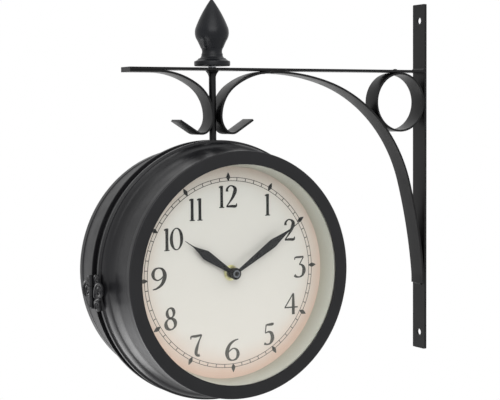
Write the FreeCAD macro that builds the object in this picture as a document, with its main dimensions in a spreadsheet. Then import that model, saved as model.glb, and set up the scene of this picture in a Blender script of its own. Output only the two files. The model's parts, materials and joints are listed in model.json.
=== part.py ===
"""Double sided station clock on a wall bracket.

Frame: millimetres, +Z up, the wall is the plane X = 0 and the clock hangs on its -X side.
The origin is the middle of the two screw holes in the wall plate.
The front dial faces -Y and the rear dial faces +Y.
"""
import FreeCAD, Part
import Sketcher
import math
import os
import re

os.makedirs("parts", exist_ok=True)
doc = FreeCAD.newDocument("StationClock")

# ---------------------------------------------------------------- driving sizes (millimetres, degrees)
SIZES = {
    # wall plate and arm
    "plate_length": 342.0,
    "strip_width": 19.0,
    "plate_thickness": 2.5,
    "hole_spacing": 310.0,
    "hole_diameter": 7.0,
    "corner_round": 1.2,
    "arm_height": 105.0,
    "arm_thickness": 2.5,
    "arm_overhang": 85.5,
    "reach": 234.5,
    # bent strips of the bracket
    "strip_thickness": 2.0,
    "brace_start": 60.0,
    "brace_crown_radius": 200.0,
    "brace_crown_turn": 17.5,
    "brace_bend_turn": 56.5,
    "brace_leg_turn": 10.5,
    "brace_foot_radius": 60.0,
    "brace_foot_tab": 5.0,
    "brace_drop": 204.0,
    "scroll_clearance": 4.95,
    "scroll_shoulder_turn": 35.0,
    "scroll_curl_turn": 45.0,
    "scroll_hook_turn": 77.0,
    "weld_gap": 1.0,
    "rivet_shank": 1.5,
    "rivet_head": 2.4,
    "rivet_head_height": 1.2,
    # hanging rod
    "drop": 181.5,
    "rod_radius": 2.0,
    "tube_radius": 3.2,
    "tube_top_flare": 5.8,
    "tube_top_flare_height": 6.0,
    "tube_foot_flare": 4.2,
    "tube_foot_flare_height": 4.5,
    "nut_flats": 7.0,
    "nut_height": 1.6,
    "finial_height": 60.5,
    "finial_bulb": 15.3,
    "finial_neck": 9.2,
    "finial_base": 16.3,
    "finial_base_height": 4.6,
    "finial_socket": 12.0,
    "rod_tail": 9.0,
    "bush_head": 0.8,
    "bush_head_radius": 4.6,
    "bush_shank": 3.2,
    "washer_space": 1.2,
    # drum
    "rim_radius": 117.8,
    "rim_width": 3.2,
    "groove_half": 5.5,
    "rim_step": 2.0,
    "shoulder_set_in": 5.8,
    "shoulder_depth": 17.0,
    "neck_set_in": 10.0,
    "neck_depth": 27.0,
    "half_depth": 54.0,
    "shell_wall": 1.2,
    "band_set_in": 4.3,
    "band_wall": 2.2,
    "band_lip": 8.0,
    "band_tail": 9.5,
    "bezel_face": 10.6,
    "bezel_wall": 1.4,
    "bezel_plate": 1.5,
    "bezel_skirt": 7.5,
    "bezel_round": 1.2,
    "glass_set_in": 3.8,
    "glass_thickness": 2.0,
    "lip_width": 7.2,
    "dial_recess": 22.8,
    "dial_set_in": 2.5,
    "dial_lap": 1.8,
    "dial_sheet": 0.5,
    "reflector_wall": 1.0,
    "flange_lap": 1.2,
    "backplate_thickness": 1.5,
    "post_clearance": 0.5,
    # hinge and latch
    "hinge_set_out": 3.1,
    "knuckle_radius": 2.0,
    "hinge_pin_radius": 1.0,
    "hinge_drop": 11.0,
    "hinge_half_height": 13.0,
    "knuckle_half_height": 4.2,
    "knuckle_gap": 0.3,
    "leaf_thickness": 1.4,
    "lock_reach": 4.7,
    "lock_boss": 4.2,
    "lock_pin_radius": 2.0,
    "lock_pin_tip": 8.0,
    "lock_knob_radius": 4.5,
    "lock_knob_length": 6.0,
    # movement
    "contact_space": 1.5,
    "housing_depth": 16.0,
    "housing_wall": 1.5,
    "bay_floor": 11.6,
    "bush_radius": 3.95,
    "bush_length": 5.0,
    "hour_pipe_radius": 2.5,
    "arbor_radius": 1.7,
    "dial_nut_radius": 7.0,
    "dial_nut_height": 1.6,
    "battery_radius": 7.1,
    "battery_length": 50.0,
    "wheel_distance": 12.0,
    "minute_module": 0.5,
    "hour_module": 0.48,
    "wheel_thickness": 1.2,
    "knob_radius": 4.5,
    "knob_height": 3.6,
    # hands
    "minute_hand_length": 81.0,
    "hour_hand_length": 56.5,
    "hand_thickness": 0.5,
    "minute_hand_width": 6.6,
    "hour_hand_width": 7.6,
    "hand_neck": 2.6,
    "hand_needle": 1.1,
    "hand_hub": 4.6,
    "hand_cap_radius": 5.3,
    "minute_hand_angle": 57.4,
    "hour_hand_angle": 303.4,
    "hand_gap": 1.2,
    "minute_hand_gap": 3.9,
    # fits
    "running_gap": 0.05,
    "thread_gap": 0.02,
    "nest_gap": 0.1,
    "door_gap": 0.5,
    "slide_gap": 0.3,
}

# Sizes that follow from the ones above, so that nested pieces keep their fits.
FOLLOWING = {
    "band_radius": "rim_radius - band_set_in",
    "shoulder_radius": "rim_radius - shoulder_set_in",
    "neck_radius": "rim_radius - neck_set_in",
    "bezel_radius": "neck_radius + nest_gap + bezel_wall",
    "glass_opening": "neck_radius - bezel_face",
    "glass_radius": "neck_radius - glass_set_in",
    "lip_radius": "neck_radius - lip_width",
    "dial_radius": "glass_opening - dial_set_in",
    "dial_rim": "dial_radius + dial_lap",
    "reflector_flange": "lip_radius + flange_lap",
    "post_circle": "(reflector_flange + neck_radius - shell_wall) / 2",
    "post_radius": "(neck_radius - shell_wall - reflector_flange) / 2 - post_clearance",
    "hinge_radius": "rim_radius + hinge_set_out",
    "scroll_height": "drop - arm_thickness / 2 - rim_radius - scroll_clearance",
    "scroll_shoulder_radius": "scroll_height * 28 / 23",
    "scroll_waist_radius": "scroll_height * 14 / 23",
    "scroll_curl_radius": "scroll_height * 7.6 / 23",
    "scroll_hook_radius": "scroll_height * 3.8 / 23",
    "scroll_tab": "scroll_height * 8 / 23",
    "housing_side": "battery_length + 2 * (contact_space + housing_wall)",
}

sheet = doc.addObject("Spreadsheet::Sheet", "Sizes")
ROWS = {**{alias: str(value) for alias, value in SIZES.items()},
        **{alias: "=" + formula for alias, formula in FOLLOWING.items()}}
for row, (alias, text) in enumerate(ROWS.items(), start=1):
    sheet.set(f"A{row}", alias)
    sheet.set(f"B{row}", text)
    sheet.setAlias(f"B{row}", alias)
doc.recompute()

WORD = re.compile(r"\b(" + "|".join(sorted(ROWS, key=len, reverse=True)) + r")\b")
PARTS = []
QUARTER = math.sqrt(0.5)
UP = FreeCAD.Vector(0, 0, 1)
Y_AXIS = FreeCAD.Vector(0, 1, 0)
X_AXIS = FreeCAD.Vector(1, 0, 0)
TOOTH_COUNT = {"cannon": 12, "minute": 36, "pinion": 10, "hour": 40, "centre": 46, "knob": 30}


def cell(name):
    """Number in the cell with this alias."""
    return float(sheet.get(name))


def bound(expression):
    """Expression text in which each cell's alias points at the sheet."""
    return WORD.sub(r"Sizes.\1", str(expression))


def value_of(expression):
    """Number that an expression on cells comes to."""
    result = sheet.evalExpression(bound(expression))
    return float(getattr(result, "Value", result))


def vec(x, y, z):
    return FreeCAD.Vector(x, y, z)


def keep(obj, label):
    """Name the object after its sub-part and list it for export."""
    obj.Label = label
    PARTS.append(obj)
    return obj


def set_size(obj, prop, expression):
    obj.setExpression(prop, bound(expression))


def body_at(label, place=None):
    body = doc.addObject("PartDesign::Body", label)
    body.Placement = place or FreeCAD.Placement()
    return body


def sketch_in(body, role, name):
    """Empty sketch on one of the body's own origin planes."""
    sketch = body.newObject("Sketcher::SketchObject", name)
    plane = [f for f in body.Origin.OriginFeatures if f.Role == role][0]
    sketch.AttachmentSupport = [(plane, "")]
    sketch.MapMode = "FlatFace"
    return sketch


def outline(sketch, corners):
    """Closed outline. A corner is (u, v): a straight run from the last corner, or (u, v, k): an arc whose
    radius is k times its chord, turning left where k is positive and right where it is negative.
    u and v are expressions on cells."""
    points = [vec(value_of(c[0]), value_of(c[1]), 0) for c in corners]
    count = len(corners)
    ends = []
    for i, corner in enumerate(corners):
        start, end = points[i - 1], points[i]
        if len(corner) == 2:
            geo = sketch.addGeometry(Part.LineSegment(start, end), False)
            ends.append((geo, 1, 2))
            continue
        chord = end - start
        radius = corner[2] * chord.Length
        half = chord.Length / 2
        rise = math.sqrt(max(radius * radius - half * half, 0.0))
        side = vec(-chord.y, chord.x, 0).normalize() * (1 if radius > 0 else -1)
        centre = (start + end) * 0.5 + side * rise
        first, last = (start, end) if radius > 0 else (end, start)
        a0 = math.atan2(first.y - centre.y, first.x - centre.x)
        a1 = math.atan2(last.y - centre.y, last.x - centre.x)
        circle = Part.Circle(centre, UP, abs(radius))
        geo = sketch.addGeometry(Part.ArcOfCircle(circle, a0, a1), False)
        ends.append((geo, 1, 2) if radius > 0 else (geo, 2, 1))
        before = corners[i - 1]
        span = f"(({corner[0]} - ({before[0]}))^2 + ({corner[1]} - ({before[1]}))^2)"
        constraint = sketch.addConstraint(Sketcher.Constraint("Radius", geo, abs(radius)))
        sketch.setExpression(f"Constraints[{constraint}]", bound(f"{abs(corner[2])} * sqrt{span}"))
    for i in range(count):
        geo, _, end_pos = ends[i]
        after, start_pos, _ = ends[(i + 1) % count]
        sketch.addConstraint(Sketcher.Constraint("Coincident", geo, end_pos, after, start_pos))
        for kind, k, number in (("DistanceX", 0, points[i].x), ("DistanceY", 1, points[i].y)):
            constraint = sketch.addConstraint(Sketcher.Constraint(kind, -1, 1, geo, end_pos, number))
            sketch.setExpression(f"Constraints[{constraint}]", bound(corners[i][k]))


def turned(label, corners, place, plane="XY_Plane"):
    """Body of revolution about the sketch's vertical axis; corners are (radius, height) expressions."""
    body = body_at(label, place)
    sketch = sketch_in(body, plane, label + "_profile")
    outline(sketch, corners)
    turn = body.newObject("PartDesign::Revolution", label + "_turn")
    turn.Profile = sketch
    turn.ReferenceAxis = (sketch, ["V_Axis"])
    turn.Angle = 360.0
    body.Tip = turn
    return keep(body, label)


def cut_round(label, body, plane, centres, radius, depth, reverse=False):
    """Round holes through the body, centred on (u, v) expressions in one of its origin planes."""
    sketch = sketch_in(body, plane, label)
    for u, v in centres:
        geo = sketch.addGeometry(Part.Circle(vec(value_of(u), value_of(v), 0), UP, value_of(radius)), False)
        for kind, text in (("DistanceX", u), ("DistanceY", v)):
            c = sketch.addConstraint(Sketcher.Constraint(kind, -1, 1, geo, 3, value_of(text)))
            sketch.setExpression(f"Constraints[{c}]", bound(text))
        c = sketch.addConstraint(Sketcher.Constraint("Radius", geo, value_of(radius)))
        sketch.setExpression(f"Constraints[{c}]", bound(radius))
    pocket = body.newObject("PartDesign::Pocket", label + "_cut")
    pocket.Profile = sketch
    pocket.SideType = "Symmetric"
    pocket.Reversed = reverse
    set_size(pocket, "Length", depth)
    body.Tip = pocket
    return pocket


# ---------------------------------------------------------------- places worked out from the sizes
ROD_X = -cell("reach")
ARM_Z = cell("arm_height")
ARM_LOW = ARM_Z - cell("arm_thickness") / 2
ARM_TOP = ARM_Z + cell("arm_thickness") / 2
CENTRE = vec(ROD_X, 0, ARM_Z - cell("drop"))
PLATE_FACE = -cell("plate_thickness")
CASE = FreeCAD.Placement(CENTRE, FreeCAD.Rotation())
ON_ARM = FreeCAD.Placement(vec(ROD_X, 0, ARM_Z), FreeCAD.Rotation())


# ---------------------------------------------------------------- bracket
def wall_plate():
    body = body_at("wall_plate")
    sketch = sketch_in(body, "YZ_Plane", "wall_plate_outline")
    w, tall = "strip_width / 2", "plate_length / 2"
    outline(sketch, [(f"-{w}", f"-{tall}"), (w, f"-{tall}"), (w, tall), (f"-{w}", tall)])
    pad = body.newObject("PartDesign::Pad", "wall_plate_pad")
    pad.Profile = sketch
    pad.Reversed = True
    set_size(pad, "Length", "plate_thickness")
    doc.recompute()
    corners = [f"Edge{i + 1}" for i, e in enumerate(pad.Shape.Edges) if abs(e.tangentAt(0).x) > 0.99]
    fillet = body.newObject("PartDesign::Fillet", "wall_plate_corners")
    fillet.Base = (pad, corners)
    set_size(fillet, "Radius", "corner_round")
    body.Tip = fillet
    doc.recompute()
    spots = [("0", "hole_spacing / 2"), ("0", "-hole_spacing / 2")]
    cut_round("wall_plate_holes", body, "YZ_Plane", spots, "hole_diameter / 2", "plate_thickness * 4")
    keep(body, "wall_plate")


def arm_bar():
    """Flat arm from the wall plate's face to its free end, with holes for the rod and the ring's rivet."""
    body = body_at("arm_bar", ON_ARM)
    sketch = sketch_in(body, "XY_Plane", "arm_bar_outline")
    w = "strip_width / 2"
    left, right = "-arm_overhang", "reach - plate_thickness"
    outline(sketch, [(left, f"-{w}"), (right, f"-{w}"), (right, w), (left, w)])
    pad = body.newObject("PartDesign::Pad", "arm_bar_pad")
    pad.Profile = sketch
    pad.SideType = "Symmetric"
    set_size(pad, "Length", "arm_thickness")
    body.Tip = pad
    doc.recompute()
    through = "arm_thickness * 4"
    cut_round("arm_bar_rod_hole", body, "XY_Plane", [("0", "0")], "rod_radius + running_gap", through)
    rivet_x = ring_centre().x - ROD_X
    cut_round("arm_bar_rivet_hole", body, "XY_Plane", [(str(rivet_x), "0")], "rivet_shank", through)
    keep(body, "arm_bar")


def bent_path(start, heading, runs):
    """Tangent runs from start: ("line", length) or ("arc", radius, turn), a turn to the right in degrees.
    Gives each run as its kind, its start, its heading there and its own numbers."""
    placed, at, angle = [], start, math.radians(heading)
    for run in runs:
        placed.append((run[0], at, angle, run[1:]))
        if run[0] == "line":
            at = at + vec(math.cos(angle), math.sin(angle), 0) * run[1]
            continue
        radius, turn = run[1], math.radians(run[2])
        centre = at + vec(math.sin(angle), -math.cos(angle), 0) * radius
        angle -= turn
        at = centre + vec(-math.sin(angle), math.cos(angle), 0) * radius
    placed.append(("end", at, angle, ()))
    return placed


def strip_outline(sketch, start, heading, runs, thickness):
    """Outline of a bent strip whose outer side follows the runs; its other side lies to the right."""
    placed = bent_path(start, heading, runs)
    right = lambda angle: vec(math.sin(angle), -math.cos(angle), 0)
    outer, inner = [], []
    for (kind, at, angle, sizes), (_, at_next, angle_next, _) in zip(placed, placed[1:]):
        at_in = at + right(angle) * thickness
        next_in = at_next + right(angle_next) * thickness
        if kind == "line":
            outer.append(Part.LineSegment(at, at_next))
            inner.append(Part.LineSegment(next_in, at_in))
            continue
        centre = at + right(angle) * sizes[0]
        first, last = angle_next + math.pi / 2, angle + math.pi / 2
        outer.append(Part.ArcOfCircle(Part.Circle(centre, UP, sizes[0]), first, last))
        inner.append(Part.ArcOfCircle(Part.Circle(centre, UP, sizes[0] - thickness), first, last))
    _, tail, tail_angle, _ = placed[-1]
    _, head, head_angle, _ = placed[0]
    ends = [Part.LineSegment(tail, tail + right(tail_angle) * thickness),
            Part.LineSegment(head + right(head_angle) * thickness, head)]
    sketch.addGeometry(outer + ends[:1] + inner[::-1] + ends[1:], False)


def strip_body(label, start, heading, runs, mirrored=False):
    """Strip on edge in the bracket's mid-plane; mirrored strips are turned half round the rod."""
    turn = FreeCAD.Rotation(UP, 180 if mirrored else 0)
    body = body_at(label, FreeCAD.Placement(vec(ROD_X, 0, 0), turn))
    sketch = sketch_in(body, "XZ_Plane", label + "_outline")
    strip_outline(sketch, start, heading, runs, cell("strip_thickness"))
    pad = body.newObject("PartDesign::Pad", label + "_pad")
    pad.Profile = sketch
    pad.SideType = "Symmetric"
    set_size(pad, "Length", "strip_width")
    body.Tip = pad
    return keep(body, label)


def brace_runs():
    """Crown, bend, leg and foot of the brace. The bend's and the leg's radii are those that bring the
    foot flush on to the wall plate, brace_drop below the arm."""
    crown, foot = cell("brace_crown_radius"), cell("brace_foot_radius")
    a = math.radians(cell("brace_crown_turn"))
    b = a + math.radians(cell("brace_bend_turn"))
    c = b + math.radians(cell("brace_leg_turn"))
    across = cell("reach") - cell("plate_thickness") - cell("brace_start")
    across -= crown * math.sin(a) + foot * (1 - math.sin(c))
    down = cell("brace_drop") - crown * (1 - math.cos(a)) - foot * math.cos(c)
    bend_x, bend_z = math.sin(b) - math.sin(a), math.cos(a) - math.cos(b)
    leg_x, leg_z = math.sin(c) - math.sin(b), math.cos(b) - math.cos(c)
    spread = bend_x * leg_z - leg_x * bend_z
    bend = (across * leg_z - leg_x * down) / spread
    leg = (bend_x * down - across * bend_z) / spread
    return [("arc", crown, math.degrees(a)), ("arc", bend, math.degrees(b - a)),
            ("arc", leg, math.degrees(c - b)), ("arc", foot, 90 - math.degrees(c)),
            ("line", cell("brace_foot_tab"))]


def brace_start():
    return vec(cell("brace_start"), ARM_LOW, 0)


def brace_strip():
    strip_body("brace_strip", brace_start(), 0, brace_runs())


def ring_circle():
    """Centre (from the rod, height) and radius of the ring that touches arm, plate and brace."""
    placed = bent_path(brace_start(), 0, brace_runs())
    _, at, angle, (bend, _) = placed[1]
    centre = at + vec(math.sin(angle), -math.cos(angle), 0) * bend
    a = cell("reach") - cell("plate_thickness") - centre.x
    b = ARM_LOW - centre.y
    total = a + b + bend
    radius = total - math.sqrt(total * total - (a * a + b * b - bend * bend))
    return radius, cell("reach") - cell("plate_thickness") - radius, ARM_LOW - radius


def ring_centre():
    _, x, z = ring_circle()
    return vec(ROD_X + x, 0, z)


def bracket_ring():
    """Ring rolled from strip, with a hole at its top and at its wall side for the rivets."""
    radius = ring_circle()[0] - cell("running_gap")
    centre = ring_centre()
    body = body_at("bracket_ring", FreeCAD.Placement(centre, FreeCAD.Rotation()))
    sketch = sketch_in(body, "XZ_Plane", "bracket_ring_outline")
    for size in (radius, radius - cell("strip_thickness")):
        sketch.addGeometry(Part.Circle(vec(0, 0, 0), UP, size), False)
    pad = body.newObject("PartDesign::Pad", "bracket_ring_pad")
    pad.Profile = sketch
    pad.SideType = "Symmetric"
    set_size(pad, "Length", "strip_width")
    body.Tip = pad
    doc.recompute()
    hole = sketch_in(body, "XY_Plane", "bracket_ring_rivet_hole")
    hole.addGeometry(Part.Circle(vec(0, 0, 0), UP, cell("rivet_shank")), False)
    pocket = body.newObject("PartDesign::Pocket", "bracket_ring_rivet_cut")
    pocket.Profile = hole
    pocket.Reversed = True
    pocket.Length = radius + 1.0
    body.Tip = pocket
    keep(body, "bracket_ring")


def scroll_runs():
    """Straight lap under the arm, quarter turn down to the rod, curl and hook, and a straight tab."""
    shoulder, waist = cell("scroll_shoulder_radius"), cell("scroll_waist_radius")
    a = math.radians(cell("scroll_shoulder_turn"))
    quarter = shoulder * math.sin(a) + waist * (1 - math.sin(a))
    lap = cell("arm_overhang") - cell("tube_radius") - cell("running_gap") - quarter
    return [("line", lap), ("arc", shoulder, math.degrees(a)), ("arc", waist, 90 - math.degrees(a)),
            ("arc", cell("scroll_curl_radius"), cell("scroll_curl_turn")),
            ("arc", cell("scroll_hook_radius"), cell("scroll_hook_turn")),
            ("line", cell("scroll_tab"))]


def scroll_strips():
    """Left scroll from the arm's free end, and the right one, which starts where the brace ends."""
    runs = scroll_runs()
    strip_body("scroll_left", vec(-cell("arm_overhang"), ARM_LOW, 0), 0, runs)
    short = cell("arm_overhang") - (cell("brace_start") - cell("weld_gap"))
    right_runs = [("line", runs[0][1] - short)] + runs[1:]
    strip_body("scroll_right", vec(-cell("arm_overhang") + short, ARM_LOW, 0), 0, right_runs, mirrored=True)


def prism(points, low_y, high_y):
    """Solid between two planes across Y, from a polygon of (x, z) corners."""
    wire = Part.makePolygon([vec(x, low_y, z) for x, z in points + points[:1]])
    return Part.Face(wire).extrude(vec(0, high_y - low_y, 0))


def weld_beads():
    """Fillet weld under the arm's root, plug weld between scroll and brace, and one over the brace's foot."""
    half = cell("strip_width") / 2
    leg, gap = 2.0, cell("running_gap")
    corner = [(PLATE_FACE, ARM_TOP), (PLATE_FACE, ARM_TOP + leg), (PLATE_FACE - leg, ARM_TOP)]
    root = prism(corner, -half, half)
    x1 = ROD_X + cell("brace_start")
    x0 = x1 - cell("weld_gap")
    low = ARM_LOW - cell("strip_thickness")
    plug = prism([(x0 + gap, ARM_LOW), (x1 - gap, ARM_LOW), (x1 - gap, low), (x0 + gap, low)], -half, half)
    foot_z = ARM_LOW - cell("brace_drop") - cell("brace_foot_tab")
    foot = prism([(PLATE_FACE, foot_z), (PLATE_FACE - cell("strip_thickness"), foot_z),
                  (PLATE_FACE, foot_z - leg)], -half / 2, half / 2)
    feature = doc.addObject("Part::Feature", "weld_beads")
    feature.Shape = Part.makeCompound([root, plug, foot])
    keep(feature, "weld_beads")


def bracket_rivet():
    """Round-headed rivet that holds the ring under the arm."""
    top = ring_centre().x
    shank_low = ARM_LOW - cell("strip_thickness") - cell("running_gap")
    shank_r = cell("rivet_shank") - cell("running_gap")
    shank = Part.makeCylinder(shank_r, ARM_TOP - shank_low, vec(top, 0, shank_low))
    head = Part.makeSphere(cell("rivet_head"), vec(0, 0, 0), UP, 0, 90, 360)
    squash = FreeCAD.Matrix()
    squash.scale(1, 1, cell("rivet_head_height") / cell("rivet_head"))
    head = head.transformGeometry(squash)
    head.translate(vec(top, 0, ARM_TOP))
    feature = doc.addObject("Part::Feature", "ring_rivet")
    feature.Shape = shank.fuse(head)
    keep(feature, "ring_rivet")


# ---------------------------------------------------------------- hanging rod and finial
def rod_tube():
    """Spacer tube between arm and drum, flared at both ends; its foot stands on the swivel bush."""
    top, foot = "-arm_thickness / 2", "-(drop - band_radius - bush_head - running_gap)"
    neck_z = f"{top} - tube_top_flare_height"
    ankle_z = f"{foot} + tube_foot_flare_height"
    bore = "rod_radius + running_gap"
    turned("rod_tube", [
        (bore, foot), ("tube_foot_flare", foot), ("tube_foot_flare", f"{foot} + 0.6"),
        ("tube_radius", ankle_z, -1.5), ("tube_radius", neck_z),
        ("tube_top_flare", f"{top} - 0.8", -1.5), ("tube_top_flare", top), (bore, top)], ON_ARM, "XZ_Plane")


def threaded_rod():
    """Rod from inside the drum, through tube and arm, into the finial."""
    low = "-(drop - band_radius + band_wall + rod_tail)"
    high = "arm_thickness / 2 + nut_height + finial_socket"
    turned("threaded_rod", [("0", low), ("rod_radius", low), ("rod_radius", high), ("0", high)],
           ON_ARM, "XZ_Plane")


def hexagon(flats, height, low):
    points = []
    for k in range(7):
        angle = math.radians(60 * k)
        radius = flats / 2 / math.cos(math.radians(30))
        points.append(vec(radius * math.cos(angle), radius * math.sin(angle), low))
    return Part.Face(Part.makePolygon(points)).extrude(vec(0, 0, height))


def rod_nuts():
    """Jam nut on the arm, and two nuts locked against each other under the drum's band."""
    under = -(cell("drop") - cell("band_radius") + cell("band_wall") + cell("washer_space"))
    spots = [cell("arm_thickness") / 2, under - cell("nut_height"), under - 2 * cell("nut_height")]
    solids = []
    for low in spots:
        nut = hexagon(cell("nut_flats"), cell("nut_height"), low)
        bore = Part.makeCylinder(cell("rod_radius") + cell("thread_gap"), cell("nut_height"), vec(0, 0, low))
        solids.append(nut.cut(bore))
    feature = doc.addObject("Part::Feature", "rod_nuts")
    feature.Shape = Part.makeCompound(solids)
    feature.Placement = ON_ARM
    keep(feature, "rod_nuts")


def finial():
    """Spear-shaped finial: base flange, cove, beaded neck, bulb and pointed tip, on a blind socket."""
    base = "(arm_thickness / 2 + nut_height)"
    at = lambda h: f"{base} + {h}"
    socket = "rod_radius + thread_gap"
    turned("finial", [
        (socket, at(0)), ("finial_base - 1", at(0)), ("finial_base", at(1), QUARTER),
        ("finial_base", at("finial_base_height - 1")), ("finial_base - 1", at("finial_base_height"), QUARTER),
        ("finial_neck + 3.4", at("finial_base_height + 2.4"), -1.6),
        ("finial_neck + 2.6", at("finial_base_height + 2.4")),
        ("finial_neck + 0.9", at("finial_base_height + 5"), -1.2),
        ("finial_neck + 0.9", at("finial_base_height + 6.2")),
        ("finial_neck", at("finial_base_height + 7")),
        ("finial_neck + 1.3", at("finial_base_height + 12"), -1.2),
        ("finial_bulb - 2.4", at("finial_height * 0.37")),
        ("finial_bulb - 0.9", at("finial_height * 0.58"), 1.03),
        ("0.9", at("finial_height - 0.8"), 3.9), ("0.4", at("finial_height")), ("0", at("finial_height")),
        ("0", at("finial_socket")), (socket, at("finial_socket"))], ON_ARM, "XZ_Plane")


def rod_washer():
    """Wave washer, drawn flat, that gives the swivel its friction."""
    high = "-(drop - band_radius + band_wall + slide_gap)"
    low = "-(drop - band_radius + band_wall + washer_space)"
    inner = "rod_radius + running_gap"
    turned("rod_washer", [(inner, low), ("rod_radius * 2.4", low), ("rod_radius * 2.4", high), (inner, high)],
           ON_ARM, "XZ_Plane")


# ---------------------------------------------------------------- drum
FRONT_HALF = FreeCAD.Placement(CENTRE, FreeCAD.Rotation())
REAR_HALF = FreeCAD.Placement(CENTRE, FreeCAD.Rotation(UP, 180))
SIDES = {"front": FRONT_HALF, "rear": REAR_HALF}
RIM_BACK = "(groove_half + rim_width)"
LIP_FACE = "(half_depth - bezel_plate - glass_thickness)"
DIAL_FACE = "(half_depth - dial_recess)"
DIAL_BACK = "(half_depth - dial_recess - dial_sheet - backplate_thickness)"


def centre_band():
    """Ring between the two halves: its lip nests in the front half and its tail in the rear one."""
    step = "groove_half - running_gap"
    tail_r = "band_radius + door_gap - nest_gap"
    inner = "band_radius - band_wall"
    band = turned("centre_band", [
        (inner, "-band_lip"), ("band_radius", "-band_lip"), ("band_radius", step), (tail_r, step),
        (tail_r, "band_tail"), (inner, "band_tail")], CASE)
    hole = sketch_in(band, "XY_Plane", "centre_band_bush_hole")
    geo = hole.addGeometry(Part.Circle(vec(0, 0, 0), UP, cell("bush_shank")), False)
    hole.addConstraint(Sketcher.Constraint("Coincident", geo, 3, -1, 1))
    constraint = hole.addConstraint(Sketcher.Constraint("Radius", geo, cell("bush_shank")))
    hole.setExpression(f"Constraints[{constraint}]", bound("bush_shank + running_gap"))
    pocket = band.newObject("PartDesign::Pocket", "centre_band_bush_cut")
    pocket.Profile = hole
    pocket.Reversed = True
    set_size(pocket, "Length", "band_radius * 2")
    band.Tip = pocket


def swivel_bush():
    """Headed bush in the band; the rod runs in it and the tube's foot stands on its head."""
    seat = "-(drop - band_radius)"
    low = f"{seat} - band_wall - slide_gap + running_gap"
    bore = "rod_radius + running_gap"
    turned("swivel_bush", [
        (bore, low), ("bush_shank", low), ("bush_shank", seat), ("bush_head_radius", seat),
        ("bush_head_radius", f"{seat} + bush_head"), (bore, f"{seat} + bush_head")], ON_ARM, "XZ_Plane")


def shell(side, place):
    """Pressed half of the drum: rolled rim, round shoulder, cove, straight neck and in-turned lip."""
    inside = "band_radius + door_gap"
    shoulder_in, neck_in = "shoulder_radius - shell_wall", "neck_radius - shell_wall"
    turned(side + "_shell", [
        (inside, "-groove_half"), ("rim_radius", "-groove_half"), ("rim_radius", f"-{RIM_BACK}"),
        ("rim_radius - rim_step", f"-{RIM_BACK} - 0.5"),
        ("shoulder_radius", "-shoulder_depth", -1.05), ("neck_radius", "-neck_depth", 1.7),
        ("neck_radius", f"-{LIP_FACE}"), ("lip_radius", f"-{LIP_FACE}"),
        ("lip_radius", f"-{LIP_FACE} + shell_wall"), (neck_in, f"-{LIP_FACE} + shell_wall"),
        (neck_in, "-neck_depth"), (shoulder_in, "-shoulder_depth", -1.8),
        (inside, f"-{RIM_BACK} - 1.5")], place)


def bezel(side, place):
    """Ring of L section that caps the neck and holds the glass against the lip."""
    neck = "neck_radius + nest_gap"
    plate = "-half_depth + bezel_plate"
    turned(side + "_bezel", [
        ("glass_opening", "-half_depth"), ("bezel_radius - bezel_round", "-half_depth"),
        ("bezel_radius", "-half_depth + bezel_round", QUARTER), ("bezel_radius", "-half_depth + bezel_skirt"),
        (neck, "-half_depth + bezel_skirt"), (neck, plate), ("glass_opening", plate)], place)


def glass(side, place):
    face, back = "-half_depth + bezel_plate", f"-{LIP_FACE}"
    turned(side + "_glass", [("0", face), ("glass_radius", face), ("glass_radius", back), ("0", back)], place)


def reflector(side, place):
    """Pale tapered ring between the glass and the dial, with a flange behind the shell's lip."""
    mouth = "glass_opening + 0.4"
    top = f"-{LIP_FACE} + nest_gap"
    seat = f"-{LIP_FACE} + shell_wall + nest_gap"
    turned(side + "_reflector", [
        ("dial_radius", f"-{DIAL_FACE}"), (mouth, top), (f"{mouth} + reflector_wall", top),
        (f"{mouth} + reflector_wall", seat), ("reflector_flange", seat),
        ("reflector_flange", f"{seat} + reflector_wall"),
        (f"{mouth} + reflector_wall", f"{seat} + reflector_wall"),
        ("dial_radius + reflector_wall", f"-{DIAL_FACE}")], place)


def dial(side, place):
    bore, back = "bush_radius + nest_gap", f"-{DIAL_FACE} + dial_sheet"
    turned(side + "_dial", [(bore, f"-{DIAL_FACE}"), ("dial_rim", f"-{DIAL_FACE}"), ("dial_rim", back),
                            (bore, back)], place)


def backplate(side, place):
    """Disc that carries dial and movement."""
    bore, edge = "bush_radius + nest_gap", "neck_radius - shell_wall - slide_gap"
    face, back = f"-{DIAL_FACE} + dial_sheet", f"-{DIAL_BACK}"
    turned(side + "_backplate", [(bore, face), (edge, face), (edge, back), (bore, back)], place)


def posts(side, place):
    """Three riveted posts that hold the backplate off the shell's lip."""
    low, high = -value_of(LIP_FACE) + cell("shell_wall"), -value_of(DIAL_FACE) + cell("dial_sheet")
    solids = []
    for angle in (60, 180, 300):
        x = cell("post_circle") * math.cos(math.radians(angle))
        z = cell("post_circle") * math.sin(math.radians(angle))
        solids.append(Part.makeCylinder(cell("post_radius"), high - low, vec(x, low, z), Y_AXIS))
    feature = doc.addObject("Part::Feature", side + "_posts")
    feature.Shape = Part.makeCompound(solids)
    feature.Placement = place
    keep(feature, side + "_posts")


# ---------------------------------------------------------------- hinge and lock
HINGE_X = -cell("hinge_radius")
HINGE = FreeCAD.Placement(CENTRE + vec(HINGE_X, 0, -cell("hinge_drop")), FreeCAD.Rotation())


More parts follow.
